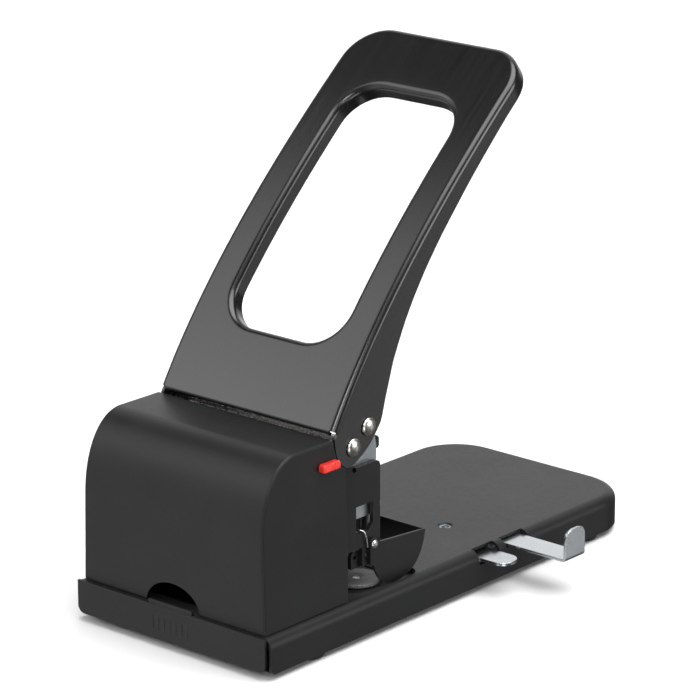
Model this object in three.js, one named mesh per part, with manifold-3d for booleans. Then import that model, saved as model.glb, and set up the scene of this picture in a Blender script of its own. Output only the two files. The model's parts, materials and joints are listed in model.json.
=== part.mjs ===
// Heavy-duty two-hole paper punch: stamped base, chip box with drawer, U-shaped
// lever handle, twin-cheek frame, sliding crosshead with two hollow punches.
// Units: millimetres, +Z up. -Y is the drawer end, +Y the paper bed end.
import * as THREE from "three";
import { mergeVertices } from "three/addons/utils/BufferGeometryUtils.js";
import Module from "manifold-3d";

const wasm = await Module();
wasm.setup();

// ---------------------------------------------------------------- dimensions
const SHEET = 1.5;              // gauge of the pressed steel shells
const BED_Z = 22.6;             // top of the paper bed
const BASE_HALF_W = 67.2;
const BASE_Y0 = 2.4;
const BASE_Y1 = 305.0;
const BASE_CORNER_R = 30.0;
const BASE_EDGE_R = 5.8;        // rolled top edge of the base
const SKIRT_Z = 3.5;            // lower edge of the base skirt
const RECESS_Z = 19.6;          // floor of the cutting-disc recess
const HOLE_X = 40.0;            // half of the 80 mm punching distance
const PUNCH_Y = 105.0;
const STOP_Y = 92.0;            // paper edge stop
const STROKE = 15.45;           // crosshead travel
const PIVOT = [72.7, 103.3];    // handle pivot (y, z)
const DRIVE = [84.3, 111.5];    // drive shaft at rest (y, z)
const SHAFT_R = 4.0;
const HEAD_R = 4.9;
const FRAME_X0 = 52.0, FRAME_X1 = 54.5;
const HANDLE_HALF_W = 59.9;
const HANDLE_T = 1.6;
const HANDLE_EDGE_R = 3.6;
const HANDLE_S0 = 0.8;          // arc length of the lower face edge
const HANDLE_S1 = 233.0;        // arc length of the top end
const HANDLE_CORNER_R = 24.0;
const GRIP = { x: 39.2, s0: 44.0, s1: 195.0, r: 22.0, lip: 9.5 };
const COVER_HALF_W = 62.65;
const COVER_Z0 = BED_Z + 0.3;
const DISC = { x: 40.6, y: 97.8, r: 12.7, z0: 19.9, z1: 22.0 };
const CLAMP_PIN = [92.9, 45.3];
const RULER = { y0: 190.6, y1: 207.2, z0: 18.9, z1: 20.4, x0: -28, x1: 105.5, top: 36.2 };
const LEVER = { y0: 167.5, y1: 182.5, z0: 17.2, z1: 18.8, x0: 38, x1: 83, pinX: 52, pinZ: 17.2 };

// ------------------------------------------------------------------- helpers
function toSolid(geometry) {
  const g = geometry.index ? geometry.clone() : geometry.clone();
  g.deleteAttribute("normal");
  g.deleteAttribute("uv");
  const m = mergeVertices(g, 1e-4);
  const pos = m.getAttribute("position").array;
  let tri = Uint32Array.from(m.getIndex().array);
  const keep = [];
  for (let i = 0; i < tri.length; i += 3) {
    const a = tri[i], b = tri[i + 1], c = tri[i + 2];
    if (a !== b && b !== c && a !== c) keep.push(a, b, c);
  }
  tri = Uint32Array.from(keep);
  if (signedVolume(pos, tri) < 0) {
    for (let i = 0; i < tri.length; i += 3) { const t = tri[i]; tri[i] = tri[i + 1]; tri[i + 1] = t; }
  }
  return new wasm.Manifold(new wasm.Mesh({ numProp: 3, vertProperties: Float32Array.from(pos), triVerts: tri }));
}

function signedVolume(p, t) {
  let v = 0;
  for (let i = 0; i < t.length; i += 3) {
    const a = 3 * t[i], b = 3 * t[i + 1], c = 3 * t[i + 2];
    v += p[a] * (p[b + 1] * p[c + 2] - p[b + 2] * p[c + 1])
       - p[a + 1] * (p[b] * p[c + 2] - p[b + 2] * p[c])
       + p[a + 2] * (p[b] * p[c + 1] - p[b + 1] * p[c]);
  }
  return v / 6;
}

function rawSolid(positions, indices) {
  const g = new THREE.BufferGeometry();
  g.setAttribute("position", new THREE.BufferAttribute(Float32Array.from(positions), 3));
  g.setIndex(indices);
  return toSolid(g);
}

function fromSolid(solid, warp) {
  const m = solid.getMesh();
  const n = m.vertProperties.length / m.numProp;
  const pos = new Float32Array(n * 3);
  for (let i = 0; i < n; i++) {
    let x = m.vertProperties[i * m.numProp], y = m.vertProperties[i * m.numProp + 1], z = m.vertProperties[i * m.numProp + 2];
    if (warp) [x, y, z] = warp(x, y, z);
    pos[3 * i] = x; pos[3 * i + 1] = y; pos[3 * i + 2] = z;
  }
  const g = new THREE.BufferGeometry();
  g.setAttribute("position", new THREE.BufferAttribute(pos, 3));
  g.setIndex(Array.from(m.triVerts));
  g.computeVertexNormals();
  return g;
}

const union = (...s) => s.reduce((a, b) => a.add(b));
const cut = (s, ...c) => c.reduce((a, b) => a.subtract(b), s);

function box(x0, x1, y0, y1, z0, z1) {
  const g = new THREE.BoxGeometry(x1 - x0, y1 - y0, z1 - z0);
  g.translate((x0 + x1) / 2, (y0 + y1) / 2, (z0 + z1) / 2);
  return toSolid(g);
}

// outline counter-clockwise, holes clockwise
function shapeOf(points, holes = []) {
  const wind = (pts, sign) => {
    const v = pts.map((p) => new THREE.Vector2(p[0], p[1]));
    return Math.sign(THREE.ShapeUtils.area(v)) === sign ? v : v.reverse();
  };
  const s = new THREE.Shape(wind(points, 1));
  for (const h of holes) s.holes.push(new THREE.Path(wind(h, -1)));
  return s;
}

// points (x, y), extruded from z0 to z1
function prismZ(points, z0, z1, holes) {
  const g = new THREE.ExtrudeGeometry(shapeOf(points, holes), { depth: z1 - z0, bevelEnabled: false, steps: 1 });
  g.translate(0, 0, z0);
  return toSolid(g);
}

// points (y, z), extruded from x0 to x1
function prismX(points, x0, x1, holes) {
  const g = new THREE.ExtrudeGeometry(shapeOf(points, holes), { depth: x1 - x0, bevelEnabled: false, steps: 1 });
  g.applyMatrix4(new THREE.Matrix4().set(0, 0, 1, x0, 1, 0, 0, 0, 0, 1, 0, 0, 0, 0, 0, 1));
  return toSolid(g);
}

// points (x, z), extruded from y0 to y1
function prismY(points, y0, y1, holes) {
  const g = new THREE.ExtrudeGeometry(shapeOf(points, holes), { depth: y1 - y0, bevelEnabled: false, steps: 1 });
  g.applyMatrix4(new THREE.Matrix4().set(1, 0, 0, 0, 0, 0, 1, y0, 0, 1, 0, 0, 0, 0, 0, 1));
  return toSolid(g);
}

function circle(cx, cy, r, n = 16, from = 0, to = 2 * Math.PI) {
  const full = Math.abs(to - from - 2 * Math.PI) < 1e-9;
  const out = [];
  for (let i = 0; i < (full ? n : n + 1); i++) {
    const a = from + ((to - from) * i) / n;
    out.push([cx + r * Math.cos(a), cy + r * Math.sin(a)]);
  }
  return out;
}

const rodX = (y, z, r, x0, x1, n = 16) => prismX(circle(y, z, r, n), x0, x1);
const rodY = (x, z, r, y0, y1, n = 16) => prismY(circle(x, z, r, n), y0, y1);
const rodZ = (x, y, r, z0, z1, n = 16) => prismZ(circle(x, y, r, n), z0, z1);

// profile (r, z) starting and ending on the axis, or closed on itself, about Z at (x, y)
function latheZ(profile, x, y, n = 20) {
  const g = new THREE.LatheGeometry(profile.map((p) => new THREE.Vector2(p[0], p[1])), n);
  g.rotateX(Math.PI / 2);
  g.translate(x, y, 0);
  return toSolid(g);
}

// profile (r, x) about an axis along X through (y, z)
function latheX(profile, y, z, n = 20) {
  const g = new THREE.LatheGeometry(profile.map((p) => new THREE.Vector2(p[0], p[1])), n);
  g.rotateZ(-Math.PI / 2);
  g.translate(0, y, z);
  return toSolid(g);
}

function roundRect(x0, x1, y0, y1, r, n = 5) {
  const c = (cx, cy, a) => circle(cx, cy, r, n, a, a + Math.PI / 2);
  return [...c(x1 - r, y1 - r, 0), ...c(x0 + r, y1 - r, Math.PI / 2), ...c(x0 + r, y0 + r, Math.PI), ...c(x1 - r, y0 + r, 1.5 * Math.PI)];
}

// section (m, d) carried along a path of {u, v, nu, nv}; m runs along (nu, nv)
function sweep(path, section, map, closed) {
  const k = section.length, pos = [], idx = [];
  for (const p of path) for (const q of section) pos.push(...map(p.u + p.nu * q[0], p.v + p.nv * q[0], q[1]));
  const n = path.length;
  for (let i = 0; i < (closed ? n : n - 1); i++) {
    const a = i * k, b = ((i + 1) % n) * k;
    for (let j = 0; j < k; j++) {
      const j2 = (j + 1) % k;
      idx.push(a + j, a + j2, b + j, a + j2, b + j2, b + j);
    }
  }
  if (!closed) {
    const tris = THREE.ShapeUtils.triangulateShape(section.map((q) => new THREE.Vector2(q[0], q[1])), []);
    // the side walls above run with the section, so the start cap opposes it
    for (const t of tris) {
      idx.push(t[0], t[2], t[1]);
      idx.push((n - 1) * k + t[0], (n - 1) * k + t[1], (n - 1) * k + t[2]);
    }
    fixCaps(pos, idx, tris.length * 2, k, n);
  }
  return rawSolid(pos, idx);
}

// turns the cap triangles so that each cap edge opposes the wall edge beside it
function fixCaps(pos, idx, caps, k) {
  const key = (a, b) => a + "_" + b;
  const wall = new Set();
  const end = idx.length - caps * 3;
  for (let i = 0; i < end; i += 3) {
    wall.add(key(idx[i], idx[i + 1])); wall.add(key(idx[i + 1], idx[i + 2])); wall.add(key(idx[i + 2], idx[i]));
  }
  for (const side of [0, 1]) {
    let bad = 0, good = 0;
    for (let i = end + side * 3; i < idx.length; i += 6) {
      for (let e = 0; e < 3; e++) {
        const a = idx[i + e], b = idx[i + (e + 1) % 3];
        if (wall.has(key(a, b))) bad++;
        if (wall.has(key(b, a))) good++;
      }
    }
    if (bad > good) for (let i = end + side * 3; i < idx.length; i += 6) { const t = idx[i + 1]; idx[i + 1] = idx[i + 2]; idx[i + 2] = t; }
  }
}

// outline points (u, v) as a prism between two depths of a curved map
function mappedPrism(outline, d0, d1, map) {
  const n = outline.length, pos = [], idx = [];
  for (const d of [d0, d1]) for (const p of outline) pos.push(...map(p[0], p[1], d));
  for (let i = 0; i < n; i++) {
    const j = (i + 1) % n;
    idx.push(i, j, n + i, j, n + j, n + i);
  }
  const tris = THREE.ShapeUtils.triangulateShape(outline.map((q) => new THREE.Vector2(q[0], q[1])), []);
  for (const t of tris) { idx.push(t[0], t[2], t[1]); idx.push(n + t[0], n + t[1], n + t[2]); }
  fixCaps(pos, idx, tris.length * 2);
  return rawSolid(pos, idx);
}

// coil spring of round wire about Z
function coil(x, y, z0, z1, r, wire, turns, stepsPerTurn = 12) {
  class Helix extends THREE.Curve {
    getPoint(t, target = new THREE.Vector3()) {
      const a = 2 * Math.PI * turns * t;
      return target.set(x + r * Math.cos(a), y + r * Math.sin(a), z0 + wire + (z1 - z0 - 2 * wire) * t);
    }
  }
  const s = shapeOf(circle(0, 0, wire, 5));
  return toSolid(new THREE.ExtrudeGeometry(s, { steps: Math.round(turns * stepsPerTurn), bevelEnabled: false, extrudePath: new Helix() }));
}

function wireAlong(points, r, steps, sides = 5) {
  const curve = new THREE.CatmullRomCurve3(points.map((p) => new THREE.Vector3(...p)), false, "centripetal");
  return toSolid(new THREE.ExtrudeGeometry(shapeOf(circle(0, 0, r, sides)), { steps, bevelEnabled: false, extrudePath: curve }));
}

const group = new THREE.Group();
const FINISH = {
  black_powder: [0x17181a, 0.5, 0.1],
  black_enamel: [0x0c0c0d, 0.32, 0.15],
  zinc: [0xc2c8cc, 0.35, 0.9],
  nickel: [0xd6d4cf, 0.22, 0.95],
  steel: [0x9a9c9e, 0.35, 0.9],
  chrome: [0xe6e9eb, 0.08, 1.0],
  red: [0xd9241f, 0.4, 0.0],
  grey_plastic: [0x77797a, 0.6, 0.0],
  rubber: [0x101010, 0.9, 0.0],
};

function piece(name, solid, finish, warp) {
  const [color, roughness, metalness] = FINISH[finish];
  const mesh = new THREE.Mesh(fromSolid(solid, warp), new THREE.MeshStandardMaterial({ color, roughness, metalness }));
  mesh.name = name;
  group.add(mesh);
  return mesh;
}

const mirrorX = (solid) => {
  const g = fromSolid(solid, (x, y, z) => [-x, y, z]);
  return toSolid(g);
};

// ---------------------------------------------------------------- base plate
{
  const R = BASE_CORNER_R, W = BASE_HALF_W;
  const path = [];
  const add = (u, v, nu, nv) => path.push({ u, v, nu, nv });
  add(W, BASE_Y0, -1, 0);
  add(W, 160, -1, 0);
  for (let i = 0; i <= 6; i++) {
    const a = (Math.PI / 2) * (i / 6);
    add(W - R + R * Math.cos(a), BASE_Y1 - R + R * Math.sin(a), -Math.cos(a), -Math.sin(a));
  }
  for (let i = 0; i <= 6; i++) {
    const a = Math.PI / 2 + (Math.PI / 2) * (i / 6);
    add(-W + R + R * Math.cos(a), BASE_Y1 - R + R * Math.sin(a), -Math.cos(a), -Math.sin(a));
  }
  add(-W, 160, 1, 0);
  add(-W, BASE_Y0, 1, 0);
  const E = BASE_EDGE_R, section = [[0, SKIRT_Z]];
  for (let i = 0; i <= 3; i++) {
    const a = Math.PI - (Math.PI / 2) * (i / 3);
    section.push([E + E * Math.cos(a), BED_Z - E + E * Math.sin(a)]);
  }
  section.push([E + 1.2, BED_Z], [E + 1.2, BED_Z - SHEET]);
  for (let i = 0; i <= 1; i++) {
    const a = Math.PI / 2 + (Math.PI / 2) * i;
    section.push([E + (E - SHEET) * Math.cos(a), BED_Z - E + (E - SHEET) * Math.sin(a)]);
  }
  // in-turned lower flange that carries the feet and the drawer
  section.push([SHEET, SKIRT_Z + SHEET], [19.5, SKIRT_Z + SHEET], [19.5, SKIRT_Z]);
  const rim = sweep(path, section, (u, v, d) => [u, v, d], false);

  const w = W - E, y1 = BASE_Y1 - E, r = R - E;
  const topOutline = [[w - 0.0, BASE_Y0], ...circle(w - r, y1 - r, r, 6, 0, Math.PI / 2), ...circle(-w + r, y1 - r, r, 6, Math.PI / 2, Math.PI), [-w, BASE_Y0]];
  const top = prismZ(topOutline, BED_Z - SHEET, BED_Z, [roundRect(-38, 38, 12, 62, 4, 3)]);
  const recess = roundRect(-60, 60, 72, 124, 6, 3);
  const tub = prismZ(roundRect(-60.9, 60.9, 70.8, 125.2, 7, 3), RECESS_Z - SHEET, BED_Z);
  let base = union(top, rim, tub).subtract(prismZ(recess, RECESS_Z, BED_Z + 2));
  base = cut(
    base,
    rodZ(27.5, 186, 3.3, 18, 26, 14),
    box(61.4, 70, RULER.y0 - 1.4, RULER.y1 + 1.4, RULER.z0 - 0.6, 30),
    box(61.4, 70, LEVER.y0 - 1.2, LEVER.y1 + 1.2, LEVER.z0 - 2.2, 30),
    ...[-1, 1].flatMap((k) => [
      rodZ(k * 57, 41.5, 3.3, 2, 6, 12),
      rodZ(k * 57, 268, 3.3, 2, 6, 12),
      rodZ(k * 46.5, 42, 2.4, 20, 24, 10),
      rodZ(k * 46.5, 59, 2.4, 20, 24, 10),
      rodZ(k * 55, 23, 2.2, 20, 24, 10),
      rodZ(k * DISC.x, DISC.y, 2.4, 16, 21, 10),
      rodZ(k * 26, 83, 2.7, 16, 21, 10),
    ]),
  );
  piece("base_plate", base, "black_powder");
}

// ----------------------------------------------------------------- the feet
for (const [name, x, y] of [
  ["foot_front_right", 57, 41.5], ["foot_front_left", -57, 41.5],
  ["foot_rear_right", 57, 268], ["foot_rear_left", -57, 268],
]) {
  piece(name, latheZ([[0, 0], [7.6, 0], [8.6, 0.8], [9, 3.2], [3, 3.2], [3, 4.8], [0, 4.8]], x, y, 14), "rubber");
}

// -------------------------------------------------------------- chip drawer
{
  const front = prismX([[0, 4.5], [1.5, 4.5], [1.5, 22.4], [0, 22.4]], -65, 65);
  const lip = box(-15, 15, 0, 2.0, 22.0, 24.8);
  const floor = box(-63, 63, 1.2, 60, 5.3, 6.5);
  const wallR = box(61.8, 63, 1.2, 60, 5.3, 17.3);
  const wallL = box(-63, -61.8, 1.2, 60, 5.3, 17.3);
  const back = box(-63, 63, 58.8, 60, 5.3, 17.3);
  let d = union(front, lip, floor, wallR, wallL, back);
  for (let i = -3; i <= 3; i++) d = d.add(box(i * 4 - 0.7, i * 4 + 0.7, -0.45, 0.5, 9.5, 16.5));
  piece("chip_drawer", d, "black_powder");
}

// ------------------------------------------------------------ chip box cover
const COVER_PROFILE = [[2.8, COVER_Z0], [2.8, 72], [3.3, 79], [4.6, 86], [6.7, 92], [9.5, 98.3], [13, 104.4], [17, 108.5], [22, 110.8], [27.5, 111.4], [57.1, 111.2]];
const coverHalf = (z) => COVER_HALF_W - 0.0245 * (z - BED_Z);
{
  const inner = [];
  const n = COVER_PROFILE.length;
  for (let i = 0; i < n; i++) {
    const a = COVER_PROFILE[Math.max(0, i - 1)], b = COVER_PROFILE[Math.min(n - 1, i + 1)];
    const dy = b[0] - a[0], dz = b[1] - a[1], l = Math.hypot(dy, dz);
    inner.push([COVER_PROFILE[i][0] + (dz / l) * SHEET, COVER_PROFILE[i][1] - (dy / l) * SHEET]);
  }
  inner[0][1] = COVER_Z0;
  inner[n - 1][0] = 57.1;
  const band = prismX([...COVER_PROFILE, ...inner.slice().reverse()], -COVER_HALF_W, COVER_HALF_W);
  const rearLip = box(-COVER_HALF_W + 0.5, COVER_HALF_W - 0.5, 55.6, 57.1, 106.5, 110.8);
  const side = [...COVER_PROFILE, [58.9, 102.5], [60.4, 98.3], [64.6, 94.7], [66.2, 91.8], [66.2, COVER_Z0]];
  const right = prismX(side, COVER_HALF_W - SHEET, COVER_HALF_W);
  const left = prismX(side, -COVER_HALF_W, -COVER_HALF_W + SHEET);
  let cover = union(band, rearLip, right, left, box(48, 61.9, 16, 30, COVER_Z0, COVER_Z0 + SHEET), box(-61.9, -48, 16, 30, COVER_Z0, COVER_Z0 + SHEET));
  const moon = [];
  for (let i = 0; i <= 12; i++) { const a = Math.PI * (i / 12); moon.push([18.2 * Math.cos(a), 22.6 + 12.8 * Math.sin(a)]); }
  cover = cut(
    cover,
    prismY([...moon, [-18.2, 20], [18.2, 20]], 0, 6),
    prismX(roundRect(44.6, 55.9, 98.2, 101.0, 1.3, 3), 55, 66),
    rodZ(55, 23, 2.2, 22, 26, 10), rodZ(-55, 23, 2.2, 22, 26, 10),
  );
  piece("chip_box_cover", cover, "black_powder", (x, y, z) => [x * (coverHalf(z) / COVER_HALF_W), y, z]);
}
for (const k of [1, -1]) {
  piece(k > 0 ? "cover_screw_right" : "cover_screw_left",
    latheZ([[0, 18.2], [3.0, 18.2], [3.6, 19], [3.6, 20.8], [1.9, 20.8], [1.9, 26.6], [0, 26.6]], 55 * k, 23, 12), "zinc");
}

// -------------------------------------------------------------- frame plates
{
  const [py, pz] = PIVOT;
  const ear = circle(py, pz, 8.0, 12, -0.55, Math.PI + 0.15);
  const poly = [
    [34, 22.9], [73, 22.9], [73, 38], [76, 44.5], [86.5, 44.5], [86.5, 34], [92, 34], [92, 38], [99.4, 38], [100.4, 39],
    [100.4, 86], [99.6, 88], [97.8, 88.7], [81.6, 88.7], [81.6, 86.6], [79.2, 86.6], [78.3, 88.7], [78.3, 95.5],
    ...ear, [64.2, 96], [60, 88], [48, 82], [34, 74],
  ];
  const holes = [
    circle(py, pz, SHAFT_R + 0.4, 16).reverse(),
    [[81.6, 52.5], [81.6, 67.5], [95, 67.5], [95, 56], [91.5, 52.5]],
    circle(44, 70, 2.9, 10).reverse(),
    circle(66, 56, 2.9, 10).reverse(),
    circle(CLAMP_PIN[0], CLAMP_PIN[1], 1.85, 10).reverse(),
    circle(89.2, 39.4, 1.75, 10).reverse(),
  ];
  const plate = prismX(poly, FRAME_X0, FRAME_X1, holes);
  const foot = box(40, FRAME_X1, 34, 71, 22.9, 25.4);
  const right = cut(plate.add(foot), rodZ(46.5, 42, 2.4, 22, 26, 10), rodZ(46.5, 59, 2.4, 22, 26, 10));
  piece("frame_plate_right", right, "black_powder");
  piece("frame_plate_left", mirrorX(right), "black_powder");
}
for (const [name, y, z] of [["frame_tie_upper", 44, 70], ["frame_tie_lower", 66, 56]]) {
  piece(name, latheX([[0, -54.7], [2.5, -54.7], [2.5, -51.7], [3.6, -51.7], [3.6, 51.7], [2.5, 51.7], [2.5, 54.7], [0, 54.7]], y, z, 12), "zinc");
}
for (const [name, x, y] of [
  ["frame_screw_right_front", 46.5, 42], ["frame_screw_right_rear", 46.5, 59],
  ["frame_screw_left_front", -46.5, 42], ["frame_screw_left_rear", -46.5, 59],
]) {
  piece(name, latheZ([[0, 18], [3.4, 18], [4, 18.8], [4, 20.8], [2.1, 20.8], [2.1, 27.4], [0, 27.4]], x, y, 12), "zinc");
}

// --------------------------------------------------------------- punch guide
{
  const plateOutline = [[51.6, 90.2], [51.6, 104], [45.5, 104], [45.5, 112], [-45.5, 112], [-45.5, 104], [-51.6, 104], [-51.6, 90.2]];
  let g = prismZ(plateOutline, 37.5, 40, [circle(HOLE_X, PUNCH_Y, 3.85, 16).reverse(), circle(-HOLE_X, PUNCH_Y, 3.85, 16).reverse()]);
  const tab = [[81, 33], [92, 33], [92, 37.6], [104, 37.6], [104, 41.2], [102.6, 42.6], [82.4, 42.6], [81, 41.2]];
  for (const k of [1, -1]) {
    const x0 = k > 0 ? 49.1 : -51.6;
    g = g.add(prismX(tab, x0, x0 + 2.5, [circle(83.9, 39, 1.3, 10).reverse()]));
  }
  g = g.add(box(-20, 20, 90.2, STOP_Y, 23.2, 38));
  g = cut(g, rodX(89.2, 39.4, 1.75, 48, 52.5, 10), rodX(89.2, 39.4, 1.75, -52.5, -48, 10));
  piece("punch_guide", g, "black_powder");
}
for (const k of [1, -1]) {
  piece(k > 0 ? "guide_rivet_right" : "guide_rivet_left",
    latheX(k > 0 ? [[0, 48.6], [1.4, 48.6], [1.4, 54.9], [0, 54.9]] : [[0, -54.9], [1.4, -54.9], [1.4, -48.6], [0, -48.6]], 89.2, 39.4, 10), "black_powder");
}

// ------------------------------------------------- guide posts, return springs
for (const k of [1, -1]) {
  piece(k > 0 ? "guide_post_right" : "guide_post_left",
    latheZ([[0, 15.6], [3.8, 15.6], [3.8, 17.8], [2.4, 17.8], [2.4, 19.9], [6.8, 19.9], [6.8, 21.4], [3, 21.4], [3, 77], [2, 78], [0, 78]], 26 * k, 83, 10), "steel");
  piece(k > 0 ? "return_spring_right" : "return_spring_left", coil(26 * k, 83, 21.8, 59.1, 5.0, 0.75, 6, 8), "steel");
}

// ---------------------------------------------------------------- chip chute
{
  const slope = [[75.2, 41.4], [62.4, 26.0], [62.4, 24.0], [63.5, 24.0], [76.2, 40.6]];
  const upper = prismX([[75.2, 41.4], [63.2, 27.0], [64.2, 26.2], [76.2, 40.6]], -51.4, 51.4);
  const lower = prismX([[64.2, 28.2], [62.4, 26.0], [62.4, 22.9], [70.6, 22.9], [70.6, 24.1], [63.6, 24.1], [63.6, 25.5], [65.2, 27.4]], -38.4, 38.4);
  piece("chip_chute", union(upper, lower), "zinc");
}

// --------------------------------------------------------------- disc studs
for (const k of [1, -1]) {
  piece(k > 0 ? "disc_screw_right" : "disc_screw_left",
    latheZ([[0, 15.8], [3.6, 15.8], [3.6, 17.8], [2.1, 17.8], [2.1, 21.7], [0, 21.7]], DISC.x * k, DISC.y, 12), "zinc");
}

// --------------------------------------------------------- cutting discs
for (const k of [1, -1]) {
  const teeth = 28, outline = [];
  for (let i = 0; i < teeth; i++) {
    const a = (2 * Math.PI * i) / teeth, h = (Math.PI / teeth) * 0.5;
    outline.push([DISC.x * k + DISC.r * Math.cos(a - h), DISC.y + DISC.r * Math.sin(a - h)]);
    outline.push([DISC.x * k + (DISC.r - 0.55) * Math.cos(a + h), DISC.y + (DISC.r - 0.55) * Math.sin(a + h)]);
  }
  piece(k > 0 ? "cutting_disc_right" : "cutting_disc_left",
    prismZ(outline, DISC.z0, DISC.z1, [circle(DISC.x * k, DISC.y, 2.5, 12).reverse()]), "grey_plastic");
}

// ----------------------------------------------------- shafts and spacers
{
  const shaft = (hx) => {
    const dome = [[0, hx + 2.3], [2.4, hx + 1.9], [4.1, hx + 1.0], [HEAD_R, hx], [SHAFT_R, hx]].reverse();
    const other = dome.map(([r, x]) => [r, -x]).reverse();
    return [...other, ...dome];
  };
  piece("pivot_shaft", latheX(shaft(60.4), PIVOT[0], PIVOT[1], 14), "nickel");
  piece("drive_shaft", latheX(shaft(60.4), DRIVE[0], DRIVE[1], 14), "nickel");
  for (const k of [1, -1]) {
    const ring = (x0, x1, ri, ro) => {
      const a = k > 0 ? x0 : -x1, b = k > 0 ? x1 : -x0;
      return [[ri, a], [ro, a], [ro, b], [ri, b], [ri, a]];
    };
    piece(k > 0 ? "pivot_spacer_right" : "pivot_spacer_left", latheX(ring(54.9, 58.0, SHAFT_R + 0.35, 7.0), PIVOT[0], PIVOT[1], 12), "steel");
    piece(k > 0 ? "drive_spacer_right" : "drive_spacer_left", latheX(ring(51.9, 58.0, SHAFT_R + 0.35, 5.4), DRIVE[0], DRIVE[1], 12), "steel");
  }
}

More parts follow.
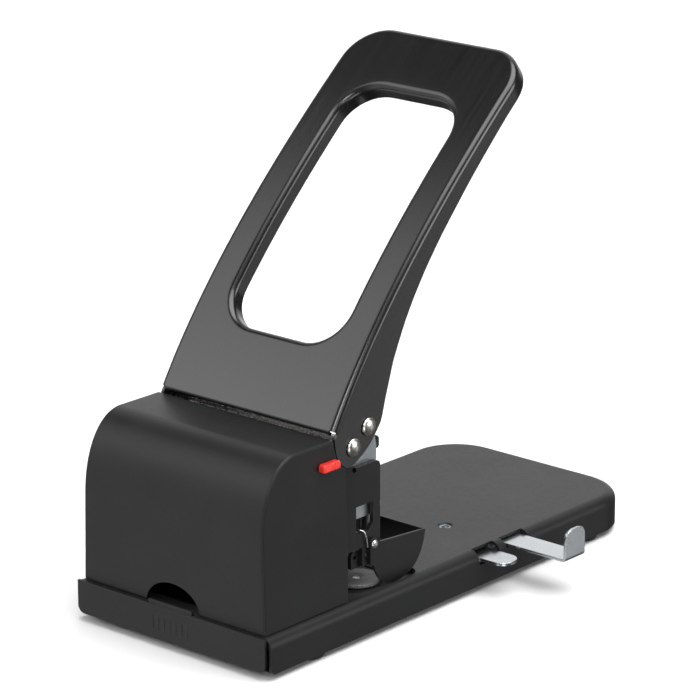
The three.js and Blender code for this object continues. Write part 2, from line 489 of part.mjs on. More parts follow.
// -------------------------------------------------------------------- handle
{
  const faceY = (z) => { const t = (z - 116.5) / 130; return 59.308 + 77.899 * t + 44.329 * t * t - 5.75 * t * t * t; };
  const Z0 = 112.8;
  // arc-length table of the lengthwise curve, then breakpoints every 19 mm
  const table = [];
  let s = 0, pz = Z0, py = faceY(Z0);
  for (let z = Z0; z <= 320; z += 0.05) {
    const y = faceY(z);
    s += Math.hypot(y - py, z - pz);
    table.push([s, y, z]); py = y; pz = z;
  }
  const at = (q) => {
    if (q <= 0) { const dy = faceY(Z0 + 0.05) - faceY(Z0), l = Math.hypot(dy, 0.05); return { y: faceY(Z0) + (dy / l) * q, z: Z0 + (0.05 / l) * q, ty: dy / l, tz: 0.05 / l }; }
    let lo = 0, hi = table.length - 2;
    while (lo < hi) { const m = (lo + hi) >> 1; if (table[m + 1][0] < q) lo = m + 1; else hi = m; }
    const a = table[lo], b = table[lo + 1], f = (q - a[0]) / (b[0] - a[0]), l = Math.hypot(b[1] - a[1], b[2] - a[2]);
    return { y: a[1] + (b[1] - a[1]) * f, z: a[2] + (b[2] - a[2]) * f, ty: (b[1] - a[1]) / l, tz: (b[2] - a[2]) / l };
  };
  const STEPS = 12, brk = [];
  for (let i = -2; i <= STEPS + 2; i++) {
    const q = (HANDLE_S1 * i) / STEPS, p = at(q);
    brk.push({ s: q, y: p.y, z: p.z, ny: p.tz, nz: -p.ty });   // normal to the rear side
  }
  const map = (x, q, d) => {
    let i = 0;
    while (i < brk.length - 2 && brk[i + 1].s < q) i++;
    const a = brk[i], b = brk[i + 1], f = (q - a.s) / (b.s - a.s);
    const L = (u, v) => u + (v - u) * f;
    return [x, L(a.y, b.y) + L(a.ny, b.ny) * d, L(a.z, b.z) + L(a.nz, b.nz) * d];
  };
  const stations = brk.map((b) => b.s);
  const split = (pts, closed) => {
    const out = [];
    for (let i = 0; i < pts.length; i++) {
      const p = pts[i], q = pts[(i + 1) % pts.length];
      out.push(p);
      if (!closed && i === pts.length - 1) break;
      const c = stations.filter((v) => (v - p[1]) * (v - q[1]) < -1e-6).sort((a, b) => (q[1] > p[1] ? a - b : b - a));
      for (const v of c) { const f = (v - p[1]) / (q[1] - p[1]); out.push(p.map((w, j) => w + (q[j] - w) * f)); }
    }
    return out;
  };
  const W = HANDLE_HALF_W, E = HANDLE_EDGE_R, T = HANDLE_T, R = HANDLE_CORNER_R, S0 = HANDLE_S0, S1 = HANDLE_S1;

  // outer rim: rolled edge and turned-down wall
  const ring = [[W, S0, -1, 0]];
  for (let i = 0; i <= 4; i++) { const a = (Math.PI / 2) * (i / 4); ring.push([W - R + R * Math.cos(a), S1 - R + R * Math.sin(a), -Math.cos(a), -Math.sin(a)]); }
  for (let i = 0; i <= 4; i++) { const a = Math.PI / 2 + (Math.PI / 2) * (i / 4); ring.push([-W + R + R * Math.cos(a), S1 - R + R * Math.sin(a), -Math.cos(a), -Math.sin(a)]); }
  ring.push([-W, S0, 1, 0]);
  const edge = (depth) => {
    const sec = [];
    for (let i = 0; i <= 2; i++) { const a = (Math.PI / 2) * (i / 2); sec.push([E - E * Math.sin(a), E - E * Math.cos(a)]); }
    const innerArc = [];
    for (let i = 0; i <= 1; i++) { const a = (Math.PI / 2) * i; innerArc.push([E - (E - T) * Math.sin(a), E - (E - T) * Math.cos(a)]); }
    return [[E + 1.2, 0], ...sec, [0, depth], [T, depth], ...innerArc.reverse(), [E + 1.2, T]];
  };
  const rimPath = split(ring, false).map(([u, v, nu, nv]) => ({ u, v, nu, nv }));
  const rim = sweep(rimPath, edge(9.9), map, false);

  // grip opening with its turned-in lip
  const gripRing = (off) => {
    const x = GRIP.x + off, a0 = GRIP.s0 - off, a1 = GRIP.s1 + off, r = GRIP.r + off, out = [];
    const corner = (cx, cy, from) => { for (let i = 0; i <= 4; i++) { const a = from + (Math.PI / 2) * (i / 4); out.push([cx + r * Math.cos(a), cy + r * Math.sin(a), Math.cos(a), Math.sin(a)]); } };
    corner(x - r, a1 - r, 0); corner(-x + r, a1 - r, Math.PI / 2); corner(-x + r, a0 + r, Math.PI); corner(x - r, a0 + r, 1.5 * Math.PI);
    return out;
  };
  const lip = sweep(split(gripRing(0), true).map(([u, v, nu, nv]) => ({ u, v, nu, nv })), edge(GRIP.lip), map, true);

  // face sheet
  const outer = [], inner = [];
  for (const b of brk) if (b.s > S0 - 30 && b.s < S1 + 20) { outer.push([b.y, b.z]); inner.push([b.y + b.ny * T, b.z + b.nz * T]); }
  const sheet = prismX([...outer, ...inner.reverse()], -W - 2, W + 2);
  const faceOutline = [[W - E, S0]];
  for (let i = 0; i <= 4; i++) { const a = (Math.PI / 2) * (i / 4); faceOutline.push([W - R + (R - E) * Math.cos(a), S1 - R + (R - E) * Math.sin(a)]); }
  for (let i = 0; i <= 4; i++) { const a = Math.PI / 2 + (Math.PI / 2) * (i / 4); faceOutline.push([-W + R + (R - E) * Math.cos(a), S1 - R + (R - E) * Math.sin(a)]); }
  faceOutline.push([-W + E, S0]);
  const face = sheet.intersect(mappedPrism(split(faceOutline, true), -18, 22, map))
    .subtract(mappedPrism(split(gripRing(E).map((p) => [p[0], p[1]]), true), -19, 23, map));

  // side flanges with the pivot lobe
  const front = [];
  for (let q = S0; q < 190; q += 19.4) { const p = map(0, q, E); front.push([p[1], p[2]]); }
  { const p = map(0, 200, E); front.push([p[1], p[2]]); }
  const rearDepth = [[198, 9.9], [178.9, 10.5], [159.6, 11.1], [140.9, 12.0], [122.4, 12.8], [104.5, 14.1], [87.3, 16.1], [73.9, 18.2], [63.1, 20.5], [52.3, 22.8], [41.8, 26.1], [31.2, 29.1]];
  const rear = rearDepth.map(([q, d]) => { const p = map(0, q, d); return [p[1], p[2]]; });
  const lobe = [[94.8, 112.4], [91.7, 108.4], [87.2, 103.2], [81.4, 98.8], [75.4, 95.4], [71.5, 93.4], [68.5, 93.2], [65.3, 95.5], [62.3, 97.9], [60.4, 101.5], [59.2, 106.5], [58.4, 111.5], [58.6, 114.6]];
  const flange = [...front, ...rear, ...lobe];
  const holes = [circle(PIVOT[0], PIVOT[1], SHAFT_R + 0.3, 16).reverse(), circle(DRIVE[0], DRIVE[1], SHAFT_R + 0.3, 16).reverse()];
  const right = prismX(flange, W - T, W, holes), left = prismX(flange, -W, -W + T, holes);

  const handle = union(face, rim, lip, right, left);
  piece("handle", handle, "black_enamel", (x, y, z) => [x * (1 - 0.000217 * (z - 116.5)), y, z]);
}

// ----------------------------------------------------------------- crosshead
{
  const web = prismZ([[51.4, 77.6], [51.4, 97], [46.5, 97], [46.5, 110], [-46.5, 110], [-46.5, 97], [-51.4, 97], [-51.4, 77.6]], 59.5, 62);
  const slot = [];
  const r = SHAFT_R + 0.55;
  slot.push(...circle(DRIVE[0] - 0.1, DRIVE[1], r, 8, Math.PI / 2, 1.5 * Math.PI));
  slot.push(...circle(DRIVE[0] + 2.7, DRIVE[1], r, 8, -Math.PI / 2, Math.PI / 2));
  const cheek = [[77.6, 59.5], [97, 59.5], [97, 74], [100.8, 78], [100.8, 96], [98.6, 106], [94.4, 115], [90, 118.6], [81, 118.6], [77.6, 116]];
  let c = web;
  for (const k of [1, -1]) {
    const x0 = k > 0 ? 48.9 : -51.4;
    c = c.add(prismX(cheek, x0, x0 + 2.5, [slot.slice().reverse()]));
  }
  c = cut(c, ...[1, -1].flatMap((k) => [rodZ(k * HOLE_X, PUNCH_Y, 3.5, 58, 64, 16), rodZ(k * 26, 83, 3.35, 58, 64, 14)]));
  piece("crosshead", c, "zinc");
}
for (const k of [1, -1]) {
  piece(k > 0 ? "punch_right" : "punch_left", latheZ([
    [2.4, 37.75], [2.6, 37.75], [3.0, 38.95], [3.0, 46.5], [3.45, 47.5], [3.45, 56.8], [5.2, 56.8], [5.2, 59.2], [3.15, 59.2], [3.15, 67.5], [2.4, 67.5], [2.4, 37.75],
  ], HOLE_X * k, PUNCH_Y, 12), "steel");
  piece(k > 0 ? "punch_nut_right" : "punch_nut_left",
    prismZ(circle(HOLE_X * k, PUNCH_Y, 6.0, 6), 62.3, 65.4, [circle(HOLE_X * k, PUNCH_Y, 3.5, 12).reverse()]), "zinc");
  const bx = k > 0 ? 46.6 : -51.3;
  piece(k > 0 ? "crosshead_buffer_right" : "crosshead_buffer_left",
    prismX([[101.1, 93.6], [102.4, 93.6], [103.4, 94.8], [103.4, 98.8], [102.4, 100.2], [101.1, 100.2]], bx, bx + 4.7), "rubber");
}

// --------------------------------------------------------------- paper clamp
{
  const dee = [
    [90.2, 34.4], [90.2, 44.0], [90.4, 46.9], [91.4, 48.2], [93.0, 48.6], [94.8, 47.9], [96.2, 46.2], [98.5, 45.2], [133.9, 42.4], [133.2, 38.5],
    [131.7, 33.6], [129.2, 29.0], [125.8, 25.2], [121.4, 22.3], [116, 20.7], [110, 20.1], [104.6, 20.8], [100, 22.8], [96.6, 26], [94.2, 30.2], [92.9, 34.2],
  ];
  const sheet = [[131.2, 43.6], [130.4, 38.6], [128.8, 33.9], [126.3, 29.9], [122.9, 26.7], [118.8, 24.3], [113.6, 23.0]];
  const inner = [[129.9, 43.6], [129.2, 38.8], [127.7, 34.5], [125.4, 30.8], [122.2, 27.8], [118.4, 25.5], [113.6, 24.3]];
  let c = prismX([...sheet, ...inner.reverse()], -56.5, 56.5);
  for (const k of [1, -1]) {
    const x0 = k > 0 ? 55.4 : -56.9;
    c = c.add(prismX(dee, x0, x0 + 1.5, [circle(CLAMP_PIN[0], CLAMP_PIN[1], 1.85, 10).reverse()]));
  }
  piece("paper_clamp", c, "black_powder");
}
for (const k of [1, -1]) {
  const prof = [[0, 51.9], [1.5, 51.9], [1.5, 57.2], [2.5, 57.2], [2.4, 57.7], [1.6, 58.1], [0, 58.2]];
  piece(k > 0 ? "clamp_pin_right" : "clamp_pin_left",
    latheX(k > 0 ? prof : prof.map(([r, x]) => [r, -x]).reverse(), CLAMP_PIN[0], CLAMP_PIN[1], 12), "nickel");
  piece(k > 0 ? "clamp_spring_right" : "clamp_spring_left",
    wireAlong([[52.5 * k, 85.2, 54.0], [53.8 * k, 85.8, 53.9], [55.2 * k, 86.8, 53.2], [55.8 * k, 87.6, 50.8], [55.9 * k, 88.5, 47.2], [55.9 * k, 89.0, 44.2]], 0.5, 9, 5), "nickel");
}

// ---------------------------------------------------------- lock latch on the box
{
  let knob = prismX(roundRect(45.2, 58.2, 97.3, 101.6, 1.2, 3), 61.3, 65.2);
  for (const y of [51.4, 53.9, 56.3]) knob = knob.subtract(box(64.6, 66, y - 0.5, y + 0.5, 96, 105));
  const stem = box(58.8, 61.6, 50.0, 55.4, 98.6, 100.6);
  piece("latch_knob", knob.add(stem), "red");
  piece("latch_slide", box(57.1, 58.5, 33, 55.0, 95.5, 105), "steel");
}

// --------------------------------------------------------------- paper guide
{
  const { y0, y1, z0, z1, x0, x1, top } = RULER;
  const bar = box(x0, x1 - 0.4, y0, y1, z0, z1);
  const tabShape = [[y0, z0], [y1, z0], [y1, top - 5], [y1 - 1.5, top - 1.5], [y1 - 5, top], [y0 + 5, top], [y0 + 1.5, top - 1.5], [y0, top - 5]];
  const tab = prismX(tabShape, x1 - 1.5, x1);
  piece("paper_guide", bar.add(tab), "chrome");
  const ch = union(box(12, 60.4, y0 - 3.2, y1 + 3.2, 16.4, 17.6), box(12, 60.4, y0 - 3.2, y0 - 1.6, 16.4, 20.8), box(12, 60.4, y1 + 1.6, y1 + 3.2, 16.4, 20.8));
  piece("guide_channel", ch, "zinc");
}
{
  const { y0, y1, z0, z1, x0, x1, pinX, pinZ } = LEVER;
  const tongue = prismZ([[x0, y0], ...circle(x1 - 6, y0 + 6, 6, 4, -Math.PI / 2, 0), ...circle(x1 - 6, y1 - 6, 6, 4, 0, Math.PI / 2), [x0, y1]], z0, z1);
  const hub = rodY(pinX, pinZ, 2.6, y0, y1, 14);
  piece("guide_lock_lever", tongue.add(hub).subtract(rodY(pinX, pinZ, 1.6, y0 - 1, y1 + 1, 10)), "chrome");
  piece("lever_pin", rodY(pinX, pinZ, 1.25, y0 - 4.4, y1 + 4.4, 10), "steel");
  const br = union(box(46, 58, y0 - 3.6, y1 + 3.6, 12.3, 13.5), box(46, 58, y0 - 3.6, y0 - 2.1, 12.3, 20.8), box(46, 58, y1 + 2.1, y1 + 3.6, 12.3, 20.8));
  piece("lever_bracket", br.subtract(rodY(pinX, pinZ, 1.6, y0 - 6, y1 + 6, 10)), "zinc");
}

// origin at the middle of the footprint box, on the surface it stands on
const bounds = new THREE.Box3().setFromObject(group);
group.position.set(-(bounds.min.x + bounds.max.x) / 2, -(bounds.min.y + bounds.max.y) / 2, -bounds.min.z);
group.updateMatrixWorld(true);

export default group;
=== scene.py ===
# Looks for the two-hole lever punch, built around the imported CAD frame.
import bpy, bmesh, math, json
import numpy as np
from mathutils import Vector, Matrix


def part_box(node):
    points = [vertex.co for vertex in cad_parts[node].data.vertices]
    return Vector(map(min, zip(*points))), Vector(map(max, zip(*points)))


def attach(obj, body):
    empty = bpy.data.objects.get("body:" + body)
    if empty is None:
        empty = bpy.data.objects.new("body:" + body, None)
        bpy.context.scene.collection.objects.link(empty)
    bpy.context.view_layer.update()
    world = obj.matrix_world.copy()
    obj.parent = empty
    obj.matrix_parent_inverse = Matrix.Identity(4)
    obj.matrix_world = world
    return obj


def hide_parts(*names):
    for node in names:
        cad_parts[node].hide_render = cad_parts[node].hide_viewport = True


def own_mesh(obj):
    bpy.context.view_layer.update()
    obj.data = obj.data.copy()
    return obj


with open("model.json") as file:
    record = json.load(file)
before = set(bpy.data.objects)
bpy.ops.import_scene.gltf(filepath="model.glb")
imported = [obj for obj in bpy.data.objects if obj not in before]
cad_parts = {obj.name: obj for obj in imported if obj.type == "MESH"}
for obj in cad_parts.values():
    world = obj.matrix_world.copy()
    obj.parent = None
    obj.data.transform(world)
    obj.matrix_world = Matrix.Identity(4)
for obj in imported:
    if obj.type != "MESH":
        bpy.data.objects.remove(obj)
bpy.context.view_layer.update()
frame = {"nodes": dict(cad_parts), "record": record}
_lo, _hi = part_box("base_plate")
OX, OY = (_lo.x + _hi.x) / 2, _lo.y - 0.0024     # the base is centred on x = 0 and starts at y = 2.4 mm
MM = 0.001


def P(x, y, z):
    return (OX + x * MM, OY + y * MM, z * MM)


# ------------------------------------------------------------------ materials
class Nodes:
    def __init__(self, name):
        self.mat = bpy.data.materials.new(name)
        self.mat.use_nodes = True
        self.t = self.mat.node_tree
        self.t.nodes.clear()
        self.out = self.t.nodes.new("ShaderNodeOutputMaterial")
        self.b = self.t.nodes.new("ShaderNodeBsdfPrincipled")
        self.link(self.b.outputs[0], self.out.inputs[0])
        self.co = self.t.nodes.new("ShaderNodeTexCoord").outputs["Object"]

    def link(self, a, b):
        self.t.links.new(a, b)

    def new(self, kind, **props):
        n = self.t.nodes.new(kind)
        for k, v in props.items():
            setattr(n, k, v)
        return n

    def mapped(self, scale, rot=(0, 0, 0)):
        n = self.new("ShaderNodeMapping")
        n.inputs["Scale"].default_value = scale
        n.inputs["Rotation"].default_value = rot
        self.link(self.co, n.inputs["Vector"])
        return n.outputs[0]

    def noise(self, scale, detail=3, rough=0.55, vec=None, w=None):
        n = self.new("ShaderNodeTexNoise")
        n.inputs["Scale"].default_value = scale
        n.inputs["Detail"].default_value = detail
        n.inputs["Roughness"].default_value = rough
        self.link(vec if vec is not None else self.co, n.inputs["Vector"])
        return n.outputs["Fac"]

    def ramp(self, fac, lo, hi, a=0.0, b=1.0):
        n = self.new("ShaderNodeMapRange")
        n.inputs["From Min"].default_value = lo
        n.inputs["From Max"].default_value = hi
        n.inputs["To Min"].default_value = a
        n.inputs["To Max"].default_value = b
        self.link(fac, n.inputs["Value"])
        return n.outputs[0]

    def math(self, op, a, b):
        n = self.new("ShaderNodeMath", operation=op)
        for i, v in enumerate((a, b)):
            if isinstance(v, (int, float)):
                n.inputs[i].default_value = v
            else:
                self.link(v, n.inputs[i])
        return n.outputs[0]

    def mix(self, fac, a, b):
        n = self.new("ShaderNodeMix", data_type="RGBA")
        for i, v in ((0, fac), (6, a), (7, b)):
            if isinstance(v, (tuple, list)):
                n.inputs[i].default_value = (*v[:3], 1.0)
            elif isinstance(v, (int, float)):
                n.inputs[i].default_value = v
            else:
                self.link(v, n.inputs[i])
        return n.outputs[2]

    def bump(self, height, distance, strength=1.0, normal=None):
        n = self.new("ShaderNodeBump")
        n.inputs["Strength"].default_value = strength
        n.inputs["Distance"].default_value = distance
        self.link(height, n.inputs["Height"])
        if normal is not None:
            self.link(normal, n.inputs["Normal"])
        return n.outputs[0]

    def edge(self, radius, lo=0.02, hi=0.25):
        """1 on sharp and rolled edges, 0 on flats."""
        bev = self.new("ShaderNodeBevel", samples=4)
        bev.inputs["Radius"].default_value = radius
        geo = self.new("ShaderNodeNewGeometry")
        dot = self.new("ShaderNodeVectorMath", operation="DOT_PRODUCT")
        self.link(bev.outputs[0], dot.inputs[0])
        self.link(geo.outputs["Normal"], dot.inputs[1])
        inv = self.math("SUBTRACT", 1.0, dot.outputs["Value"])
        return self.ramp(inv, lo, hi)

    def put(self, **values):
        for k, v in values.items():
            s = self.b.inputs[k.replace("_", " ")]
            if isinstance(v, (int, float)):
                s.default_value = v
            elif isinstance(v, tuple):
                s.default_value = (*v[:3], 1.0)
            else:
                self.link(v, s)
        return self.mat


def powder_coat():
    n = Nodes("black_powder_coat")
    broad = n.noise(22, 3)
    fine = n.noise(2600, 2, 0.5)
    mid = n.noise(420, 3)
    tone = n.ramp(broad, 0.3, 0.7)
    col = n.mix(tone, (0.0085, 0.0088, 0.0092), (0.0120, 0.0124, 0.0128))
    speck = n.ramp(fine, 0.62, 0.78, 0.0, 0.25)
    col = n.mix(speck, col, (0.035, 0.036, 0.037))
    # edges lighter and brownish: paint worn thin there, and partly a painted edge highlight
    edge_tint = n.math("MULTIPLY", n.edge(0.0007), n.ramp(n.noise(160, 4), 0.35, 0.7, 0.15, 0.85))
    col = n.mix(n.math("MULTIPLY", edge_tint, 0.55), col, (0.095, 0.085, 0.072))
    rough = n.math("ADD", n.ramp(mid, 0.3, 0.7, 0.37, 0.42), n.ramp(broad, 0.3, 0.7, -0.015, 0.03))
    nb = n.bump(n.math("ADD", n.math("MULTIPLY", fine, 0.8), n.math("MULTIPLY", mid, 0.12)), 0.00004, 0.4)
    return n.put(Base_Color=col, Roughness=rough, Normal=nb, Specular_IOR_Level=0.31)


def enamel():
    n = Nodes("black_enamel")
    # long fine streaks of the rolled sheet under the enamel, running up the handle
    streak = n.noise(1.0, 5, 0.65, n.mapped((1500, 26, 26)))
    streak2 = n.noise(1.0, 3, 0.6, n.mapped((420, 9, 9)))
    broad = n.noise(9, 3)
    s = n.math("ADD", n.math("MULTIPLY", streak, 0.65), n.math("MULTIPLY", streak2, 0.35))
    col = n.mix(n.ramp(s, 0.36, 0.64), (0.0030, 0.0030, 0.0031), (0.0080, 0.0079, 0.0075))
    # edges lighter and brownish: enamel worn thin there, and partly a painted edge highlight
    edge_tint = n.math("MULTIPLY", n.edge(0.0006), n.ramp(n.noise(140, 4), 0.4, 0.75, 0.1, 0.8))
    col = n.mix(n.math("MULTIPLY", edge_tint, 0.45), col, (0.09, 0.085, 0.07))
    rough = n.math("ADD", n.ramp(s, 0.35, 0.65, 0.22, 0.265), n.ramp(broad, 0.35, 0.65, -0.015, 0.03))
    dust = n.noise(1900, 2)
    nb = n.bump(n.math("ADD", n.math("MULTIPLY", s, 0.25), n.math("MULTIPLY", dust, 0.35)), 0.00003, 0.12)
    return n.put(Base_Color=col, Roughness=rough, Normal=nb, Specular_IOR_Level=0.62,
                 Coat_Weight=0.25, Coat_Roughness=0.14)


def metal(name, low, high, rough, streak_dir=(900, 60, 60), spangle=0.0, bump=0.00003, tarnish=(0.30, 0.27, 0.23), edge_tint=0.2):
    n = Nodes(name)
    streak = n.noise(1.0, 4, 0.6, n.mapped(streak_dir))
    cloud = n.noise(70, 4)
    grain = n.noise(1800, 2)
    col = n.mix(n.ramp(cloud, 0.3, 0.7), low, high)
    if spangle:
        v = n.new("ShaderNodeTexVoronoi")
        v.inputs["Scale"].default_value = 420
        n.link(n.co, v.inputs["Vector"])
        bw = n.new("ShaderNodeRGBToBW")
        n.link(v.outputs["Color"], bw.inputs[0])
        col = n.mix(n.math("MULTIPLY", bw.outputs[0], spangle), col, tuple(c * 0.78 for c in low))
    col = n.mix(n.math("MULTIPLY", n.edge(0.0005), edge_tint), col, tarnish)
    r = n.math("ADD", n.ramp(streak, 0.3, 0.7, rough * 0.8, rough * 1.2), n.ramp(grain, 0.3, 0.7, -0.02, 0.03))
    nb = n.bump(n.math("ADD", n.math("MULTIPLY", streak, 0.7), n.math("MULTIPLY", grain, 0.3)), bump, 0.5)
    return n.put(Base_Color=col, Roughness=r, Normal=nb, Metallic=1.0)


def plastic(name, low, high, rough, grain=1500, bump=0.00004, edge_col=None, coat=0.0):
    n = Nodes(name)
    g = n.noise(grain, 3)
    c = n.noise(60, 3)
    col = n.mix(n.ramp(c, 0.3, 0.7), low, high)
    col = n.mix(n.ramp(g, 0.6, 0.8, 0.0, 0.25), col, tuple(min(1, x * 1.35 + 0.01) for x in high))
    if edge_col:
        col = n.mix(n.math("MULTIPLY", n.edge(0.0004), 0.5), col, edge_col)
    r = n.ramp(g, 0.3, 0.7, rough * 0.88, rough * 1.12)
    return n.put(Base_Color=col, Roughness=r, Normal=n.bump(g, bump, 0.6), Coat_Weight=coat, Coat_Roughness=0.2)


MAT = {
    "black_powder": powder_coat(),
    "black_enamel": enamel(),
    "zinc_plate": metal("zinc_plate", (0.48, 0.52, 0.54), (0.66, 0.70, 0.72), 0.34, spangle=0.5),
    "nickel": metal("nickel_plate", (0.78, 0.75, 0.70), (0.90, 0.87, 0.83), 0.28, streak_dir=(500, 500, 500), edge_tint=0.12),
    "tool_steel": metal("ground_steel", (0.30, 0.30, 0.31), (0.44, 0.44, 0.45), 0.33, streak_dir=(120, 120, 1400)),
    "chrome": metal("chrome_plate", (0.57, 0.60, 0.625), (0.64, 0.665, 0.69), 0.24, streak_dir=(60, 60, 60), bump=0.000008, tarnish=(0.5, 0.46, 0.40), edge_tint=0.12),
    "red_plastic": plastic("red_plastic", (0.62, 0.020, 0.014), (0.76, 0.034, 0.022), 0.36, coat=0.15, edge_col=(0.9, 0.12, 0.08)),
    "grey_plastic": plastic("grey_plastic", (0.19, 0.195, 0.19), (0.235, 0.24, 0.235), 0.46, edge_col=(0.34, 0.34, 0.33)),
    "rubber": plastic("rubber", (0.010, 0.010, 0.010), (0.017, 0.017, 0.017), 0.82, grain=900, bump=0.00008),
}
SLOT = {s["node"]: s["material_slot"] for s in frame["record"]["subparts"]}
BODY = {n: b for b, ns in frame["record"]["behaviour"]["bodies"].items() for n in ns}
for node, obj in frame["nodes"].items():
    obj.data.materials.clear()
    obj.data.materials.append(MAT[SLOT[node]])


# -------------------------------------------------------------- mesh helpers
def adopt(me, name, node, smooth=35):
    me.validate()
    me.shade_smooth()
    me.set_sharp_from_angle(angle=math.radians(smooth))
    ob = bpy.data.objects.new(name, me)
    bpy.context.scene.collection.objects.link(ob)
    me.materials.clear()
    me.materials.append(MAT[SLOT[node]])
    # flats stay flat beside their rounded edges
    wn = ob.modifiers.new("flat", "WEIGHTED_NORMAL")
    wn.mode, wn.weight, wn.keep_sharp = "FACE_AREA", 50, True
    dg = bpy.context.evaluated_depsgraph_get()
    dg.update()
    ob.data = bpy.data.meshes.new_from_object(ob.evaluated_get(dg))
    ob.modifiers.clear()
    ob.data.name = name
    bpy.data.meshes.remove(me)
    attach(ob, BODY[node])
    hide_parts(node)
    return ob


def to_mesh(bm, name):
    me = bpy.data.meshes.new(name)
    bmesh.ops.recalc_face_normals(bm, faces=bm.faces)
    bm.to_mesh(me)
    bm.free()
    return me


def bm_of(verts, faces):
    bm = bmesh.new()
    vs = [bm.verts.new(v) for v in verts]
    for f in faces:
        f = list(dict.fromkeys(f))
        if len(f) > 2:
            try:
                bm.faces.new([vs[i] for i in f])
            except ValueError:
                pass
    return bm


def bevel_sharp(bm, width, segments=2, angle=30, keep=None):
    bm.normal_update()
    es = [e for e in bm.edges if len(e.link_faces) == 2 and e.calc_face_angle(0) > math.radians(angle) and (keep is None or keep(e))]
    if es:
        bmesh.ops.bevel(bm, geom=es, offset=width * MM, segments=segments, profile=0.55, affect="EDGES", clamp_overlap=True)


def merge(bms):
    out = bmesh.new()
    for b in bms:
        me = bpy.data.meshes.new("tmp")
        b.to_mesh(me)
        b.free()
        out.from_mesh(me)
        bpy.data.meshes.remove(me)
    return out


def block(x0, x1, y0, y1, z0, z1, bevel=0.25, seg=2):
    v = [P(x, y, z) for x in (x0, x1) for y in (y0, y1) for z in (z0, z1)]
    bm = bm_of(v, [(0, 1, 3, 2), (4, 6, 7, 5), (0, 4, 5, 1), (2, 3, 7, 6), (0, 2, 6, 4), (1, 5, 7, 3)])
    bmesh.ops.recalc_face_normals(bm, faces=bm.faces)
    if bevel:
        bevel_sharp(bm, bevel, seg)
    return bm


def prism(points, a0, a1, axis, bevel=0.25, seg=2, angle=30):
    """points in the plane across axis: X (y, z), Y (x, z), Z (x, y)."""
    place = {"X": lambda p, a: P(a, p[0], p[1]), "Y": lambda p, a: P(p[0], a, p[1]), "Z": lambda p, a: P(p[0], p[1], a)}[axis]
    n = len(points)
    v = [place(p, a0) for p in points] + [place(p, a1) for p in points]
    bm = bm_of(v, [tuple(range(n))[::-1], tuple(range(n, 2 * n))] + [(i, (i + 1) % n, n + (i + 1) % n, n + i) for i in range(n)])
    bmesh.ops.recalc_face_normals(bm, faces=bm.faces)
    if bevel:
        bm.normal_update()
        caps = [f for f in bm.faces if len(f.verts) == n]
        es = set()
        for f in caps[:2] if n > 4 else bm.faces:
            es.update(f.edges)
        if n > 4:
            es.update(e for e in bm.edges if e.calc_face_angle(0) > math.radians(angle))
        bmesh.ops.bevel(bm, geom=list(es), offset=bevel * MM, segments=seg, profile=0.55, affect="EDGES", clamp_overlap=True)
    return bm


def arc(cx, cy, r, a0, a1, n):
    return [(cx + r * math.cos(math.radians(a0 + (a1 - a0) * i / n)), cy + r * math.sin(math.radians(a0 + (a1 - a0) * i / n))) for i in range(n + 1)]


def round_rect(x0, x1, y0, y1, r, n=6, corners=(1, 1, 1, 1)):
    """corners: upper right, upper left, lower left, lower right."""
    out = []
    for k, (cx, cy, sx, sy, a) in enumerate(((x1, y1, -1, -1, 0), (x0, y1, 1, -1, 90), (x0, y0, 1, 1, 180), (x1, y0, -1, 1, 270))):
        if corners[k]:
            out += arc(cx + sx * r, cy + sy * r, r, a, a + 90, n)
        else:
            out.append((cx, cy))
    return out


def fillet_profile(prof, r, n=3):
    """Rounds the outer corners of a lathe profile a little."""
    out = [prof[0]]
    for i in range(1, len(prof) - 1):
        p, q, s = Vector(prof[i - 1]), Vector(prof[i]), Vector(prof[i + 1])
        a, b = (p - q), (s - q)
        la, lb = a.length, b.length
        if la < 1e-6 or lb < 1e-6 or a.angle(b) > math.radians(165):
            out.append(tuple(q)); continue
        k = min(r, la * 0.45, lb * 0.45)
        A, B = q + a / la * k, q + b / lb * k
        for j in range(n + 1):
            t = j / n
            out.append(tuple(A * (1 - t) ** 2 + q * 2 * t * (1 - t) + B * t * t))
    out.append(prof[-1])
    return out


def lathe(profile, axis, c, n=40, r=0.25, seg=3):
    """profile (r, a); closed on the axis or on itself; axis X about (y, z), Y about (x, z), Z about (x, y)."""
    closed = profile[0] == profile[-1]
    prof = fillet_profile(profile, r, seg) if r else list(profile)
    if closed:
        prof = prof[:-1]
    place = {"X": lambda u, v, a: P(a, c[0] + u, c[1] + v), "Y": lambda u, v, a: P(c[0] + u, a, c[1] + v), "Z": lambda u, v, a: P(c[0] + u, c[1] + v, a)}[axis]
    verts, idx = [], []
    for rr, a in prof:
        if rr < 1e-6:
            idx.append([len(verts)] * n)
            verts.append(place(0, 0, a))
        else:
            idx.append(list(range(len(verts), len(verts) + n)))
            verts += [place(rr * math.cos(2 * math.pi * k / n), rr * math.sin(2 * math.pi * k / n), a) for k in range(n)]
    faces = []
    m = len(prof)
    for i in range(m if closed else m - 1):
        A, B = idx[i], idx[(i + 1) % m]
        for k in range(n):
            faces.append((A[k], A[(k + 1) % n], B[(k + 1) % n], B[k]))
    bm = bm_of(verts, faces)
    bmesh.ops.recalc_face_normals(bm, faces=bm.faces)
    return bm


